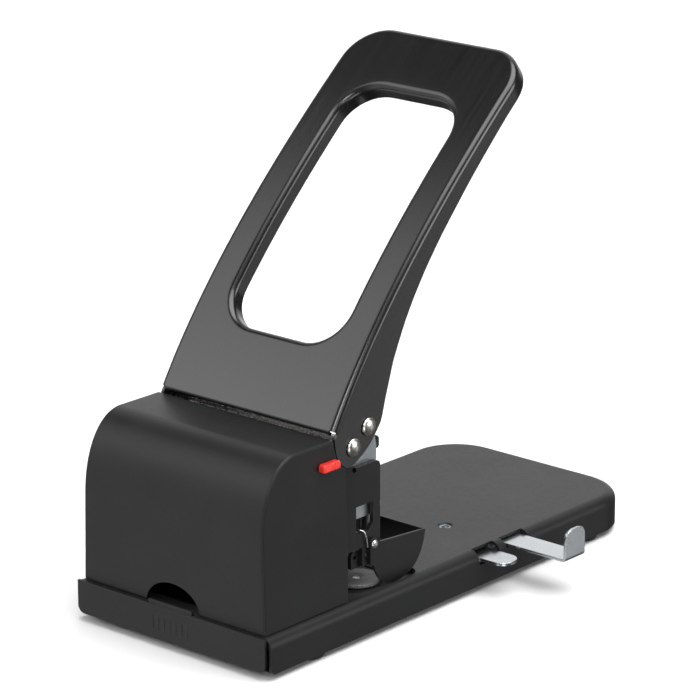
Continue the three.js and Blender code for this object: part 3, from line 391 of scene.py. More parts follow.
def tube(points, r, sides=10, caps=True):
    """round wire along smooth points, in mm."""
    pts = [Vector(p) for p in points]
    verts, faces = [], []
    prev = None
    for i, p in enumerate(pts):
        t = (pts[min(i + 1, len(pts) - 1)] - pts[max(i - 1, 0)]).normalized()
        if prev is None:
            side = t.orthogonal().normalized()
        else:
            side = (prev - t * prev.dot(t)).normalized()
        prev = side
        up = t.cross(side)
        for k in range(sides):
            a = 2 * math.pi * k / sides
            verts.append(P(*(p + side * (r * math.cos(a)) + up * (r * math.sin(a)))))
    for i in range(len(pts) - 1):
        for k in range(sides):
            a, b = i * sides + k, i * sides + (k + 1) % sides
            faces.append((a, b, b + sides, a + sides))
    if caps:
        faces.append(tuple(range(sides))[::-1])
        faces.append(tuple(range((len(pts) - 1) * sides, len(pts) * sides)))
    bm = bm_of(verts, faces)
    bmesh.ops.recalc_face_normals(bm, faces=bm.faces)
    return bm


def spline(points, per=8):
    """Catmull-Rom through points of any dimension."""
    pts = [np.array(p, float) for p in points]
    pts = [2 * pts[0] - pts[1]] + pts + [2 * pts[-1] - pts[-2]]
    out = []
    for i in range(1, len(pts) - 2):
        p0, p1, p2, p3 = pts[i - 1:i + 3]
        for k in range(per):
            t = k / per
            out.append(0.5 * ((2 * p1) + (-p0 + p2) * t + (2 * p0 - 5 * p1 + 4 * p2 - p3) * t * t + (-p0 + 3 * p1 - 3 * p2 + p3) * t ** 3))
    out.append(pts[-2])
    return out


def boolean(me, cutters, op="DIFFERENCE"):
    """me with each cutter bmesh taken away (or added), as a new mesh."""
    ob = bpy.data.objects.new("work", me)
    bpy.context.scene.collection.objects.link(ob)
    extra = []
    for i, c in enumerate(cutters):
        cm = bpy.data.meshes.new("cutter")
        c.to_mesh(cm)
        c.free()
        co = bpy.data.objects.new(f"cutter{i}", cm)
        bpy.context.scene.collection.objects.link(co)
        co.hide_render = True
        mod = ob.modifiers.new(f"b{i}", "BOOLEAN")
        mod.operation, mod.object, mod.solver = op, co, "EXACT"
        extra.append(co)
    dg = bpy.context.evaluated_depsgraph_get()
    dg.update()
    res = bpy.data.meshes.new_from_object(ob.evaluated_get(dg))
    for o in [ob] + extra:
        m = o.data
        bpy.data.objects.remove(o)
        bpy.data.meshes.remove(m)
    return res


def cleanup(bm, dist=1e-6):
    bmesh.ops.remove_doubles(bm, verts=bm.verts, dist=dist)
    bmesh.ops.dissolve_limit(bm, angle_limit=math.radians(0.6), verts=bm.verts, edges=bm.edges, delimit=set())


def refine(node, width=0.3, seg=2, smooth=35, angle=30):
    """A bent or cut plate from its CAD solid with broken edges."""
    bm = bmesh.new()
    bm.from_mesh(frame["nodes"][node].data)
    cleanup(bm)
    bmesh.ops.recalc_face_normals(bm, faces=bm.faces)
    bevel_sharp(bm, width, seg, angle)
    return adopt(to_mesh(bm, node + "_fine"), node + "_fine", node, smooth)


# -------------------------------------------------------------------- camera
def camera():
    az, el, dist = math.radians(40.80904), math.radians(17.44662), 1.899071
    back = Vector((math.sin(az) * math.cos(el), -math.cos(az) * math.cos(el), math.sin(el)))
    right = Vector((math.cos(az), math.sin(az), 0))
    up = back.cross(right).normalized()
    t = right * 0.09141169 + up * 0.15092325
    at = back * dist + t + Vector((0, 0, 0.0015))
    cam = bpy.data.cameras.new("camera")
    ob = bpy.data.objects.new("camera", cam)
    bpy.context.scene.collection.objects.link(ob)
    cam.sensor_width = 36
    cam.lens = 36 * 3748.63 / 700
    cam.clip_start, cam.clip_end = 0.05, 30
    m = Matrix((right, up, back)).transposed().to_4x4()
    m.translation = at + Vector((OX, OY, 0))
    ob.matrix_world = m
    bpy.context.scene.camera = ob


camera()


# -------------------------------------------------------------------- handle
def handle():
    W, E, T, R, S0, S1 = 59.9, 3.6, 1.6, 24.0, 0.8, 233.0
    RB = 2.0
    zs = np.arange(100.0, 330.0, 0.05)
    t = (zs - 116.5) / 130
    ys = 59.308 + 77.899 * t + 44.329 * t * t - 5.75 * t ** 3
    arc_len = np.concatenate([[0], np.cumsum(np.hypot(np.diff(ys), np.diff(zs)))])
    arc_len -= np.interp(112.8, zs, arc_len)

    def place(x, s, d):
        y, z = np.interp(s, arc_len, ys), np.interp(s, arc_len, zs)
        dy = np.interp(s + 0.5, arc_len, ys) - np.interp(s - 0.5, arc_len, ys)
        dz = np.interp(s + 0.5, arc_len, zs) - np.interp(s - 0.5, arc_len, zs)
        l = math.hypot(dy, dz)
        y, z = y + dz / l * d, z - dy / l * d
        return [x, y, z]

    def out(p):
        return P(p[0] * (1 - 0.000217 * (p[2] - 116.5)), p[1], p[2])

    # outline of the rim: u, v, inward normal, side flag
    sb = S0 + RB
    side_s = list(np.linspace(sb, 31.2, 19)) + list(np.linspace(31.2, S1 - R, 34))[1:]
    ring = [(W, s, -1, 0) for s in side_s]
    for i in range(1, 17):
        a = math.pi / 2 * i / 16
        ring.append((W - R + R * math.cos(a), S1 - R + R * math.sin(a), -math.cos(a), -math.sin(a)))
    for x in np.linspace(W - R, -W + R, 15)[1:]:
        ring.append((x, S1, 0, -1))
    for i in range(1, 17):
        a = math.pi / 2 + math.pi / 2 * i / 16
        ring.append((-W + R + R * math.cos(a), S1 - R + R * math.sin(a), -math.cos(a), -math.sin(a)))
    ring += [(-W, s, 1, 0) for s in side_s[::-1][1:]]
    nr = len(ring)
    bottom = [(x, sb) for x in np.linspace(-W + E, W - E, 29)[1:-1]]
    loop = [(u + nu * E, v + nv * E) for u, v, nu, nv in ring]
    loop[0], loop[nr - 1] = (W - E, sb), (-W + E, sb)
    loop += bottom
    n = len(loop)
    # grip opening
    gx, g0, g1, gr = 39.2, 44.0, 195.0, 22.0
    gc = (g0 + g1) / 2
    hx, hy, rr = gx + E, (g1 - g0) / 2 + E, gr + E

    def sdf(x, y):
        qx, qy = abs(x) - (hx - rr), abs(y) - (hy - rr)
        return math.hypot(max(qx, 0), max(qy, 0)) + min(max(qx, qy), 0) - rr

    oc, ohx, ohy = (S1 - E + sb) / 2, W - E, (S1 - E - sb) / 2
    inner = []
    for u, v in loop:
        a, b = u / ohx, (v - oc) / ohy
        m = max(abs(a), abs(b))
        dx, dy = a / m * hx, b / m * hy
        lo_, hi_ = 0.2, 1.6
        for _ in range(40):
            k = (lo_ + hi_) / 2
            if sdf(dx * k, dy * k) < 0: lo_ = k
            else: hi_ = k
        x, y = dx * k, dy * k
        gxn = sdf(x + .01, y) - sdf(x - .01, y)
        gyn = sdf(x, y + .01) - sdf(x, y - .01)
        g = math.hypot(gxn, gyn)
        inner.append((x, y + gc, gxn / g, gyn / g))
    verts, faces, rows = [], [], []

    def row(pts):
        rows.append(list(range(len(verts), len(verts) + len(pts))))
        verts.extend(pts)
        return rows[-1]

    K = 9
    grid = []
    for j in range(K + 1):
        f = j / K
        grid.append(row([out(place(u + (q[0] - u) * f, v + (q[1] - v) * f, 0)) for (u, v), q in zip(loop, inner)]))
    for A, B in zip(grid, grid[1:]):
        for i in range(n):
            k = (i + 1) % n
            faces.append((A[i], A[k], B[k], B[i]))
    # lip of the grip opening
    last = grid[-1]
    A6 = 7
    for i in range(1, A6 + 1):
        a = math.pi / 2 * i / A6
        r_ = row([out(place(x - nx * E * math.sin(a), y - ny * E * math.sin(a), E - E * math.cos(a))) for x, y, nx, ny in inner])
        for k in range(n):
            faces.append((last[k], last[(k + 1) % n], r_[(k + 1) % n], r_[k]))
        last = r_
    for d in (6.0, 8.2, 9.5):
        r_ = row([out(place(x - nx * E, y - ny * E, d)) for x, y, nx, ny in inner])
        for k in range(n):
            faces.append((last[k], last[(k + 1) % n], r_[(k + 1) % n], r_[k]))
        last = r_
    # rolled rim, then the wall and the side flanges with their lobes
    depth_s = [31.2, 41.8, 52.3, 63.1, 73.9, 87.3, 104.5, 122.4, 140.9, 159.6, 178.9, 198, 400]
    depth_d = [29.1, 26.1, 22.8, 20.5, 18.2, 16.1, 14.1, 12.8, 12.0, 11.1, 10.5, 9.9, 9.9]
    join = place(0, 31.2, 29.1)[1:]
    lobe = [(60.6, 113.0), (58.9, 110.6), (59.3, 106.5), (60.4, 101.5), (62.3, 97.9), (65.3, 95.3), (68.5, 93.5), (72.0, 93.5), (75.4, 95.2),
            (81.4, 98.6), (87.2, 103.2), (91.7, 108.4), (94.8, 112.6), tuple(join)]
    fine = np.array(spline(lobe, 10))
    ll = np.concatenate([[0], np.cumsum(np.hypot(*np.diff(fine, axis=0).T))])

    def rear(u, v, k_side):
        if abs(abs(u) - W) < 1e-6 and v <= 31.2 + 1e-6:
            f = (v - sb) / (31.2 - sb)
            # keep the fan orderly: the lobe is spread evenly by its length over the rows
            q = f * ll[-1]
            return [u, np.interp(q, ll, fine[:, 0]), np.interp(q, ll, fine[:, 1])]
        return place(u, v, np.interp(v, depth_s, depth_d))

    last = grid[0][:nr]
    for i in range(1, A6 + 1):
        a = math.pi / 2 * i / A6
        r_ = row([out(place(u + nu * (E - E * math.sin(a)), v + nv * (E - E * math.sin(a)), E - E * math.cos(a))) for u, v, nu, nv in ring])
        for k in range(nr - 1):
            faces.append((last[k + 1], last[k], r_[k], r_[k + 1]))
        last = r_
    front = [place(u, v, E) for u, v, _, _ in ring]
    back = [rear(u, v, 0) for u, v, _, _ in ring]
    for f in (0.2, 0.4, 0.6, 0.8, 1.0):
        r_ = row([out([a_ + (b_ - a_) * f for a_, b_ in zip(p, q)]) for p, q in zip(front, back)])
        for k in range(nr - 1):
            faces.append((last[k + 1], last[k], r_[k], r_[k + 1]))
        last = r_
    # turned-back lower edge
    order = [nr - 1] + list(range(nr, n)) + [0]
    last = [grid[0][i] for i in order]
    xs = [loop[i][0] for i in order]
    for i in range(1, 6):
        a = math.pi / 2 * i / 5
        r_ = row([out(place(x * (1 - 0.012 * i / 5), sb - RB * math.sin(a), RB - RB * math.cos(a))) for x in xs])
        for k in range(len(xs) - 1):
            faces.append((last[k + 1], last[k], r_[k], r_[k + 1]))
        last = r_
    r_ = row([out(place(x * 0.985, S0, 3.9)) for x in xs])
    for k in range(len(xs) - 1):
        faces.append((last[k + 1], last[k], r_[k], r_[k + 1]))
    bm = bm_of(verts, faces)
    bmesh.ops.recalc_face_normals(bm, faces=bm.faces)
    bm.faces.ensure_lookup_table()
    if sum((f.normal.y for f in bm.faces if f.calc_center_median().z < 0.2)) > 0:
        bmesh.ops.reverse_faces(bm, faces=bm.faces)
    me = bpy.data.meshes.new("handle_shell")
    bm.normal_update()
    bm.to_mesh(me)
    bm.free()
    ob = bpy.data.objects.new("work", me)
    bpy.context.scene.collection.objects.link(ob)
    so = ob.modifiers.new("s", "SOLIDIFY")
    so.thickness, so.offset, so.use_even_offset = T * MM, -1, False
    so.use_quality_normals = True
    bv = ob.modifiers.new("b", "BEVEL")
    bv.width, bv.segments, bv.limit_method, bv.angle_limit = 0.35 * MM, 2, "ANGLE", math.radians(50)
    dg = bpy.context.evaluated_depsgraph_get()
    dg.update()
    res = bpy.data.meshes.new_from_object(ob.evaluated_get(dg))
    bpy.data.objects.remove(ob)
    res.name = "handle_shell"
    return adopt(res, "handle_shell", "handle", 42)


handle()


# ---------------------------------------------------------------------- base
def base():
    Wd, R, E, y0, y1, z0, z1 = 67.2, 30.0, 5.8, 2.4, 305.0, 3.5, 22.6

    def pan(off, zb, zt, e, yf, na=14, ne=8):
        """closed body of the pan outline, off inside the outer one, with a rolled top edge of radius e."""
        w, r, yb = Wd - off, R - off, y1 - off
        path = [(w, yf, -1, 0), (w, yf + 60, -1, 0), (w, 160, -1, 0)]
        path += [(w - r + r * math.cos(math.pi / 2 * i / na), yb - r + r * math.sin(math.pi / 2 * i / na), -math.cos(math.pi / 2 * i / na), -math.sin(math.pi / 2 * i / na)) for i in range(na + 1)]
        path += [(-w + r - r * math.sin(math.pi / 2 * i / na), yb - r + r * math.cos(math.pi / 2 * i / na), math.sin(math.pi / 2 * i / na), -math.cos(math.pi / 2 * i / na)) for i in range(na + 1)]
        path += [(-w, 160, 1, 0), (-w, yf + 60, 1, 0), (-w, yf, 1, 0)]
        sec = [(0, zb)] + [(e - e * math.cos(math.pi / 2 * i / ne), zt - e + e * math.sin(math.pi / 2 * i / ne)) for i in range(ne + 1)]
        k, m = len(sec), len(path)
        v = [P(u + nu * s, vv + nv * s, z) for u, vv, nu, nv in path for s, z in sec]
        f = []
        for i in range(m - 1):
            for j in range(k - 1):
                a = i * k + j
                f.append((a, a + 1, a + k + 1, a + k))
        f.append(tuple(i * k + k - 1 for i in range(m)))
        f.append(tuple(i * k for i in range(m))[::-1])
        f.append(tuple(range(k)) + tuple((m - 1) * k + j for j in range(k))[::-1])
        bm = bm_of(v, f)
        bmesh.ops.recalc_face_normals(bm, faces=bm.faces)
        return bm

    me = to_mesh(pan(0, z0, z1, E, y0), "pan")
    me = boolean(me, [
        pan(1.5, 5.0, 21.1, E - 1.5, y0 - 8),
        prism(round_rect(-47.7, 47.7, -20, 285.5, 10, 6), 0, 6, "Z", 0),
    ])
    def ramped(o, zb, zt, r):
        a = round_rect(-60 - o, 60 + o, 72 - o, 124 + o, r, 8)
        b = round_rect(-60.2, 60.2, 72, 124, r - o, 8)
        n = len(a)
        v = [P(x, y, zb) for x, y in b] + [P(x, y, zt) for x, y in a]
        bm = bm_of(v, [tuple(range(n))[::-1], tuple(range(n, 2 * n))] + [(i, (i + 1) % n, n + (i + 1) % n, n + i) for i in range(n)])
        bmesh.ops.recalc_face_normals(bm, faces=bm.faces)
        return bm
    me = boolean(me, [prism(round_rect(-61.4, 61.4, 70.4, 125.6, 7, 6), 18.1, 22.0, "Z", 0)], "UNION")
    cut = [
        ramped(1.5, 19.6, 22.75, 7.5),
        prism(round_rect(-38, 38, 12, 62, 4, 5), 18, 26, "Z", 0),
        lathe([(0, 17), (3.3, 17), (3.3, 26), (0, 26)], "Z", (27.5, 186), 32, 0),
        lathe([(0, 21.9), (3.4, 21.9), (4.6, 22.7), (0, 22.7)], "Z", (27.5, 186), 32, 0),
        prism(round_rect(189.2, 208.6, 18.3, 40, 1.2, 4, (0, 0, 1, 1)), 61.0, 72, "X", 0),
        prism(round_rect(166.3, 183.7, 15.0, 40, 1.2, 4, (0, 0, 1, 1)), 61.0, 72, "X", 0),
    ]
    cut.append(prism([(-1, 6.9)] + arc(5.8, 6.9, 3.4, 180, 270, 8) + [(5.8, 1.0), (-1, 1.0)], -72, 72, "X", 0))
    for k in (1, -1):
        cut += [lathe([(0, 2), (3.3, 2), (3.3, 6), (0, 6)], "Z", (k * 57, y), 20, 0) for y in (41.5, 268)]
        cut += [lathe([(0, 16), (2.4, 16), (2.4, 25), (0, 25)], "Z", (k * x, y), 20, 0) for x, y in ((46.5, 42), (46.5, 59), (55, 23), (40.6, 97.8))]
        cut.append(lathe([(0, 16), (2.7, 16), (2.7, 25), (0, 25)], "Z", (k * 26, 83), 20, 0))
    me = boolean(me, cut)
    bm = bmesh.new()
    bm.from_mesh(me)
    cleanup(bm, 2e-6)
    bevel_sharp(bm, 0.35, 2, 32)
    return adopt(to_mesh(bm, "base_pan"), "base_pan", "base_plate", 34)


base()


# -------------------------------------------------------- chip box and drawer
def bez(p0, p1, p2, p3, n):
    out = []
    for i in range(n + 1):
        t = i / n
        a, b, c, d = (1 - t) ** 3, 3 * t * (1 - t) ** 2, 3 * t * t * (1 - t), t ** 3
        out.append((a * p0[0] + b * p1[0] + c * p2[0] + d * p3[0], a * p0[1] + b * p1[1] + c * p2[1] + d * p3[1]))
    return out


def cover():
    Z0, W, S = 22.9, 62.65, 1.5
    front = [(2.8, Z0), (2.8, 46)] + bez((2.8, 70), (2.8, 95.5), (14.0, 111.4), (28.5, 111.4), 26) + [(43, 111.3), (57.1, 111.2)]
    rear_edge = [(57.6, 107.5), (58.9, 102.5)] + [tuple(p) for p in spline([(58.9, 102.5), (60.4, 98.3), (64.6, 94.7), (66.2, 91.2)], 4)][1:] + [(66.2, Z0)]
    outer = front + rear_edge
    n = len(outer)
    v = [P(x, y, z) for x in (-W, W) for y, z in outer]
    bm = bm_of(v, [tuple(range(n))[::-1], tuple(range(n, 2 * n))] + [(i, (i + 1) % n, n + (i + 1) % n, n + i) for i in range(n)])
    bmesh.ops.recalc_face_normals(bm, faces=bm.faces)
    bm.verts.ensure_lookup_table()
    es = []
    for i in range(len(front) - 1):
        for o in (0, n):
            e = bm.edges.get((bm.verts[o + i], bm.verts[o + i + 1]))
            if e: es.append(e)
    bmesh.ops.bevel(bm, geom=es, offset=1.3 * MM, segments=4, profile=0.5, affect="EDGES", clamp_overlap=False)
    bmesh.ops.recalc_face_normals(bm, faces=bm.faces)
    me = to_mesh(bm, "cover")
    # inside of the sheet
    inner = []
    for i, p in enumerate(front):
        a, b = front[max(0, i - 1)], front[min(len(front) - 1, i + 1)]
        dy, dz = b[0] - a[0], b[1] - a[1]
        l = math.hypot(dy, dz)
        inner.append((p[0] + dz / l * S, p[1] - dy / l * S))
    inner = [(inner[0][0], 10)] + inner[1:-1] + [(57.2, inner[-1][1]), (80, inner[-1][1]), (80, 10)]
    moon = [(18.2 * math.cos(math.pi * i / 40), 22.6 + 12.8 * math.sin(math.pi * i / 40)) for i in range(41)] + [(-18.2, 18), (18.2, 18)]
    me = boolean(me, [prism(inner, -W + S, W - S, "X", 0)])
    me = boolean(me, [prism(moon, -4, 6, "Y", 0), prism(round_rect(44.6, 55.9, 98.2, 101.0, 1.3, 6), 50, 70, "X", 0)])
    parts = [me]
    for b in (block(-W + 2.4, W - 2.4, 55.6, 57.1, 106.3, 110.0, 0.3), ):
        t = bpy.data.meshes.new("t"); b.to_mesh(t); b.free(); parts.append(t)
    for k in (1, -1):
        tab = prism([(k * 48, 16), (k * 61.6, 16), (k * 61.6, 30), (k * 48, 30)], Z0, Z0 + S, "Z", 0.2)
        t = bpy.data.meshes.new("t"); tab.to_mesh(t); tab.free(); parts.append(t)
    bm = bmesh.new()
    for m in parts[:1]:
        bm.from_mesh(m)
    cleanup(bm, 2e-6)
    bevel_sharp(bm, 0.28, 2, 40)
    for m in parts[1:]:
        bm.from_mesh(m)
    for q in bm.verts:
        x, z = (q.co.x - OX) / MM, q.co.z / MM
        q.co.x = OX + x * MM * (1 - 0.0245 * (z - 22.6) / W)
    return adopt(to_mesh(bm, "box_cover"), "box_cover", "chip_box_cover", 36)


cover()


def drawer():
    bms = [prism(round_rect(-65, 65, 4.5, 22.4, 4.2, 7, (0, 0, 1, 1)), 0.0, 1.5, "Y", 0.35, 3)]
    bms.append(prism(round_rect(-15, 15, 21.0, 24.8, 1.2, 4, (1, 1, 0, 0)), 0.5, 2.0, "Y", 0.3, 2))
    bms.append(block(-63.5, -15.6, 0.3, 2.3, 21.5, 22.5, 0.3))
    bms.append(block(15.6, 63.5, 0.3, 2.3, 21.5, 22.5, 0.3))
    tray = [block(-63, 63, 1.2, 60, 5.3, 6.5, 0.3), block(61.8, 63, 1.2, 60, 5.6, 17.3, 0.3), block(-63, -61.8, 1.2, 60, 5.6, 17.3, 0.3), block(-62.2, 62.2, 58.8, 60, 5.6, 17.3, 0.3)]
    for i in range(-3, 4):
        bms.append(prism(round_rect(i * 4 - 0.85, i * 4 + 0.85, 9.3, 16.6, 0.84, 6), -0.2, 0.6, "Y", 0.19, 3))
    return adopt(to_mesh(merge(bms + tray), "drawer"), "drawer_pull_front", "chip_drawer", 38)


drawer()


# ---------------------------------------------------------------- small parts
def put(node, bms, smooth=38, suffix="_fine"):
    bm = merge(bms) if isinstance(bms, list) else bms
    return adopt(to_mesh(bm, node + suffix), node + suffix, node, smooth)


for name, x, y in (("foot_front_right", 57, 41.5), ("foot_front_left", -57, 41.5), ("foot_rear_right", 57, 268), ("foot_rear_left", -57, 268)):
    put(name, lathe([(0, 0.05), (7.4, 0.05), (8.6, 1.0), (9, 3.2), (3, 3.2), (3, 4.8), (0, 4.8)], "Z", (x, y), 40, 0.6))
for k, s in ((1, "right"), (-1, "left")):
    put("cover_screw_" + s, lathe([(0, 18.2), (3.0, 18.2), (3.6, 19), (3.6, 20.8), (1.9, 20.8), (1.9, 26.6), (0, 26.6)], "Z", (55 * k, 23), 28))
    put("disc_screw_" + s, lathe([(0, 15.8), (3.6, 15.8), (3.6, 17.8), (2.1, 17.8), (2.1, 21.7), (0, 21.7)], "Z", (40.6 * k, 97.8), 28))
    put("guide_post_" + s, lathe([(0, 15.6), (3.8, 15.6), (3.8, 17.8), (2.4, 17.8), (2.4, 19.9), (6.8, 19.9), (6.8, 21.4), (3, 21.4), (3, 77), (2, 78), (0, 78)], "Z", (26 * k, 83), 32))
    put("guide_rivet_" + s, lathe([(0, 48.6 * k), (1.35, 48.6 * k), (1.35, 54.6 * k), (0.8, 54.9 * k), (0, 54.95 * k)], "X", (89.2, 39.4), 20, 0.1))
    put("punch_" + s, lathe([(2.4, 37.75), (2.6, 37.75), (3.0, 38.95), (3.0, 46.5), (3.45, 47.5), (3.45, 56.8), (5.2, 56.8), (5.2, 59.2), (3.15, 59.2), (3.15, 67.5), (2.4, 67.5), (2.4, 37.75)], "Z", (40 * k, 105), 36, 0.12))
    pin = [(0, 51.9 * k), (1.5, 51.9 * k), (1.5, 57.2 * k), (2.35, 57.2 * k), (2.3, 57.55 * k), (1.8, 57.95 * k), (1.0, 58.15 * k), (0, 58.2 * k)]
    put("clamp_pin_" + s, lathe(pin, "X", (92.9, 45.3), 28, 0.15))
    put("pivot_spacer_" + s, lathe([(4.3, 54.9 * k), (7, 54.9 * k), (7, 58 * k), (4.3, 58 * k), (4.3, 54.9 * k)], "X", (72.7, 103.3), 40, 0.3))
    put("drive_spacer_" + s, lathe([(4.3, 51.9 * k), (5.4, 51.9 * k), (5.4, 58 * k), (4.3, 58 * k), (4.3, 51.9 * k)], "X", (84.3, 111.5), 36, 0.3))
for nm, y, z in (("frame_tie_upper", 44, 70), ("frame_tie_lower", 66, 56)):
    put(nm, lathe([(0, -54.7), (2.5, -54.7), (2.5, -51.7), (3.6, -51.7), (3.6, 51.7), (2.5, 51.7), (2.5, 54.7), (0, 54.7)], "X", (y, z), 28))
for nm, x, y in (("frame_screw_right_front", 46.5, 42), ("frame_screw_right_rear", 46.5, 59), ("frame_screw_left_front", -46.5, 42), ("frame_screw_left_rear", -46.5, 59)):
    put(nm, lathe([(0, 18), (3.4, 18), (4, 18.8), (4, 20.8), (2.1, 20.8), (2.1, 27.4), (0, 27.4)], "Z", (x, y), 28))
for nm, c in (("pivot_shaft", (72.7, 103.3)), ("drive_shaft", (84.3, 111.5))):
    h = 60.35
    dome = [(4.0, h), (4.9, h + 0.05), (4.92, h + 0.35), (4.7, h + 0.75), (4.2, h + 1.2), (3.4, h + 1.62), (2.4, h + 1.97), (1.2, h + 2.22), (0, h + 2.3)]
    prof = [(r, -a) for r, a in dome[::-1]] + dome
    put(nm, lathe(prof, "X", c, 48, 0), 50)


def spring(x, y, z0, z1, r, wire, turns, steps=28):
    pts = []
    n = int(turns * steps)
    for i in range(n + 1):
        t = i / n
        a = 2 * math.pi * turns * t
        # closed and ground end coils
        k = min(max((t * turns - 0.8) / (turns - 1.6), 0), 1)
        z = z0 + wire + (z1 - z0 - 2 * wire) * (0.06 * t + 0.94 * k)
        pts.append((x + r * math.cos(a), y + r * math.sin(a), z))
    return tube(pts, wire, 9)


for k, s in ((1, "right"), (-1, "left")):
    sp = put("return_spring_" + s, spring(26 * k, 83, 21.8, 59.1, 5.0, 0.75, 7.5))
    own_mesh(sp)


def disc(k):
    cx, cy, R0, z0, z1 = 40.6 * k, 97.8, 12.7, 19.9, 22.0
    teeth, n = 60, 60 * 6
    def rad(i, base, amp):
        ph = (i % 6) / 6
        return base - amp * (0.5 + 0.5 * math.cos(2 * math.pi * ph)) ** 0.7
    levels = [(2.5, z0, 0), (12.0, z0, 0), (R0, z0 + 0.4, 1), (R0, z1 - 0.45, 1), (R0 - 0.45, z1 - 0.08, 1), (11.4, z1, 0), (10.9, z1 - 0.22, 0), (7.0, z1 - 0.22, 0), (6.7, z1, 0), (4.4, z1, 0), (4.1, z1 - 0.3, 0), (2.5, z1 - 0.3, 0)]
    verts, faces = [], []
    for r, z, t in levels:
        for i in range(n):
            a = 2 * math.pi * i / n
            q = rad(i, r, 0.38) if t else r
            verts.append(P(cx + q * math.cos(a), cy + q * math.sin(a), z))
    m = len(levels)
    for j in range(m):
        for i in range(n):
            a, b = j * n + i, j * n + (i + 1) % n
            c, d = ((j + 1) % m) * n + (i + 1) % n, ((j + 1) % m) * n + i
            faces.append((a, b, c, d))
    bms = [bm_of(verts, faces)]
    # one small moulded dot shows how far the disc is turned
    bms.append(lathe([(0, z1 - 0.4), (1.5, z1 - 0.4), (1.5, z1 - 0.1), (1.1, z1 - 0.02), (0, z1 - 0.02)], "Z", (cx + 2.4, cy + 8.6), 20, 0.05))
    return put("cutting_disc_" + ("right" if k > 0 else "left"), bms, 30)


disc(1), disc(-1)


# ----------------------------------------------------------------- paper clamp
def clamp():
    top = [(90.2, 34.4), (90.2, 44.0), (90.4, 46.6), (91.3, 48.0), (92.9, 48.5), (94.6, 47.9), (96.2, 46.4), (98.6, 45.3)]
    edge = [tuple(p) for p in spline(top, 5)] + [(116, 43.85), (133.9, 42.4)]
    bowl = [(133.9, 42.4), (133.3, 38.5), (131.7, 33.6), (129.2, 29.0), (125.8, 25.2), (121.4, 22.3), (116, 20.7), (110, 20.1), (104.6, 20.8), (100, 22.8), (96.6, 26), (94.0, 30.2), (92.6, 33.6)]
    dee = edge + [tuple(p) for p in spline(bowl, 4)][1:]
    bms = []
    for k in (1, -1):
        x0 = 55.4 if k > 0 else -56.9
        bms.append(prism(dee, x0, x0 + 1.5, "X", 0.28, 2, 50))
    # curved sheet between the end plates
    so = [(132.9, 43.0), (132.5, 38.6), (130.9, 33.9), (128.4, 29.5), (125.1, 25.9), (120.9, 23.1), (115.8, 21.5), (110, 20.9), (104.9, 21.6), (101.2, 23.0)]
    line = np.array(spline(so[:7] + [(112.6, 21.15)], 5))
    d = np.gradient(line, axis=0)
    d /= np.hypot(d[:, 0], d[:, 1])[:, None]
    inn = line + np.stack([d[:, 1], -d[:, 0]], 1) * 1.3
    if inn[0][0] > line[0][0]:
        inn = line - np.stack([d[:, 1], -d[:, 0]], 1) * 1.3
    prof = [tuple(p) for p in line] + [tuple(p) for p in inn[::-1]]
    bms.append(prism(prof, -56.0, 56.0, "X", 0.25, 2, 50))
    return put("paper_clamp", bms, 34)


clamp()
for k, s in ((1, "right"), (-1, "left")):
    w = spline([(52.5 * k, 85.2, 54.0), (53.8 * k, 85.8, 53.9), (55.2 * k, 86.8, 53.2), (55.8 * k, 87.6, 50.8), (55.9 * k, 88.5, 47.2), (55.9 * k, 89.0, 44.2)], 6)
    put("clamp_spring_" + s, tube([tuple(p) for p in w], 0.34, 12))


# ----------------------------------------------------------- latch on the box
def latch():
    x0, x1, y0, y1, z0, z1 = 61.3, 65.2, 45.2, 58.2, 97.3, 101.6
    # cap with three raised ribs across its upper half
    prof = []
    ys = np.linspace(y0, y1, 91)
    for y in ys:
        h = x1 - 0.15
        for c in (51.4, 53.9, 56.3):
            h -= 0.6 * math.exp(-((y - c) / 0.5) ** 2)
        e = min(y - y0, y1 - y)
        r = 1.2
        if e < r:
            h -= r - math.sqrt(max(r * r - (r - e) ** 2, 0))
        prof.append((y, h))
    rows = []
    verts, faces = [], []
    m = 9
    for (y, h) in prof:
        e = min(y - y0, y1 - y)
        zin = 0.0 if e > 1.4 else 1.4 - math.sqrt(max(1.4 ** 2 - (1.4 - e) ** 2, 0))
        za, zb = z0 + zin, z1 - zin
        sec = [(x0, za), (x0, zb)]
        rr = min(1.1, (zb - za) / 2 - 0.05, h - x0 - 0.1)
        for i in range(m):
            a = math.pi / 2 * i / (m - 1)
            sec.append((h - rr + rr * math.sin(a), zb - rr + rr * math.cos(a)))
        for i in range(m):
            a = math.pi / 2 * i / (m - 1)
            sec.append((h - rr + rr * math.cos(a), za + rr - rr * math.sin(a)))
        rows.append(list(range(len(verts), len(verts) + len(sec))))
        verts += [P(x, y, z) for x, z in sec]
    k = len(rows[0])
    for A, B in zip(rows, rows[1:]):
        for j in range(k):
            faces.append((A[j], A[(j + 1) % k], B[(j + 1) % k], B[j]))
    faces.append(tuple(rows[0][::-1]))
    faces.append(tuple(rows[-1]))
    return put("latch_knob", [bm_of(verts, faces), block(58.8, 61.6, 50.0, 55.4, 98.6, 100.6, 0.3)], 40)


latch()


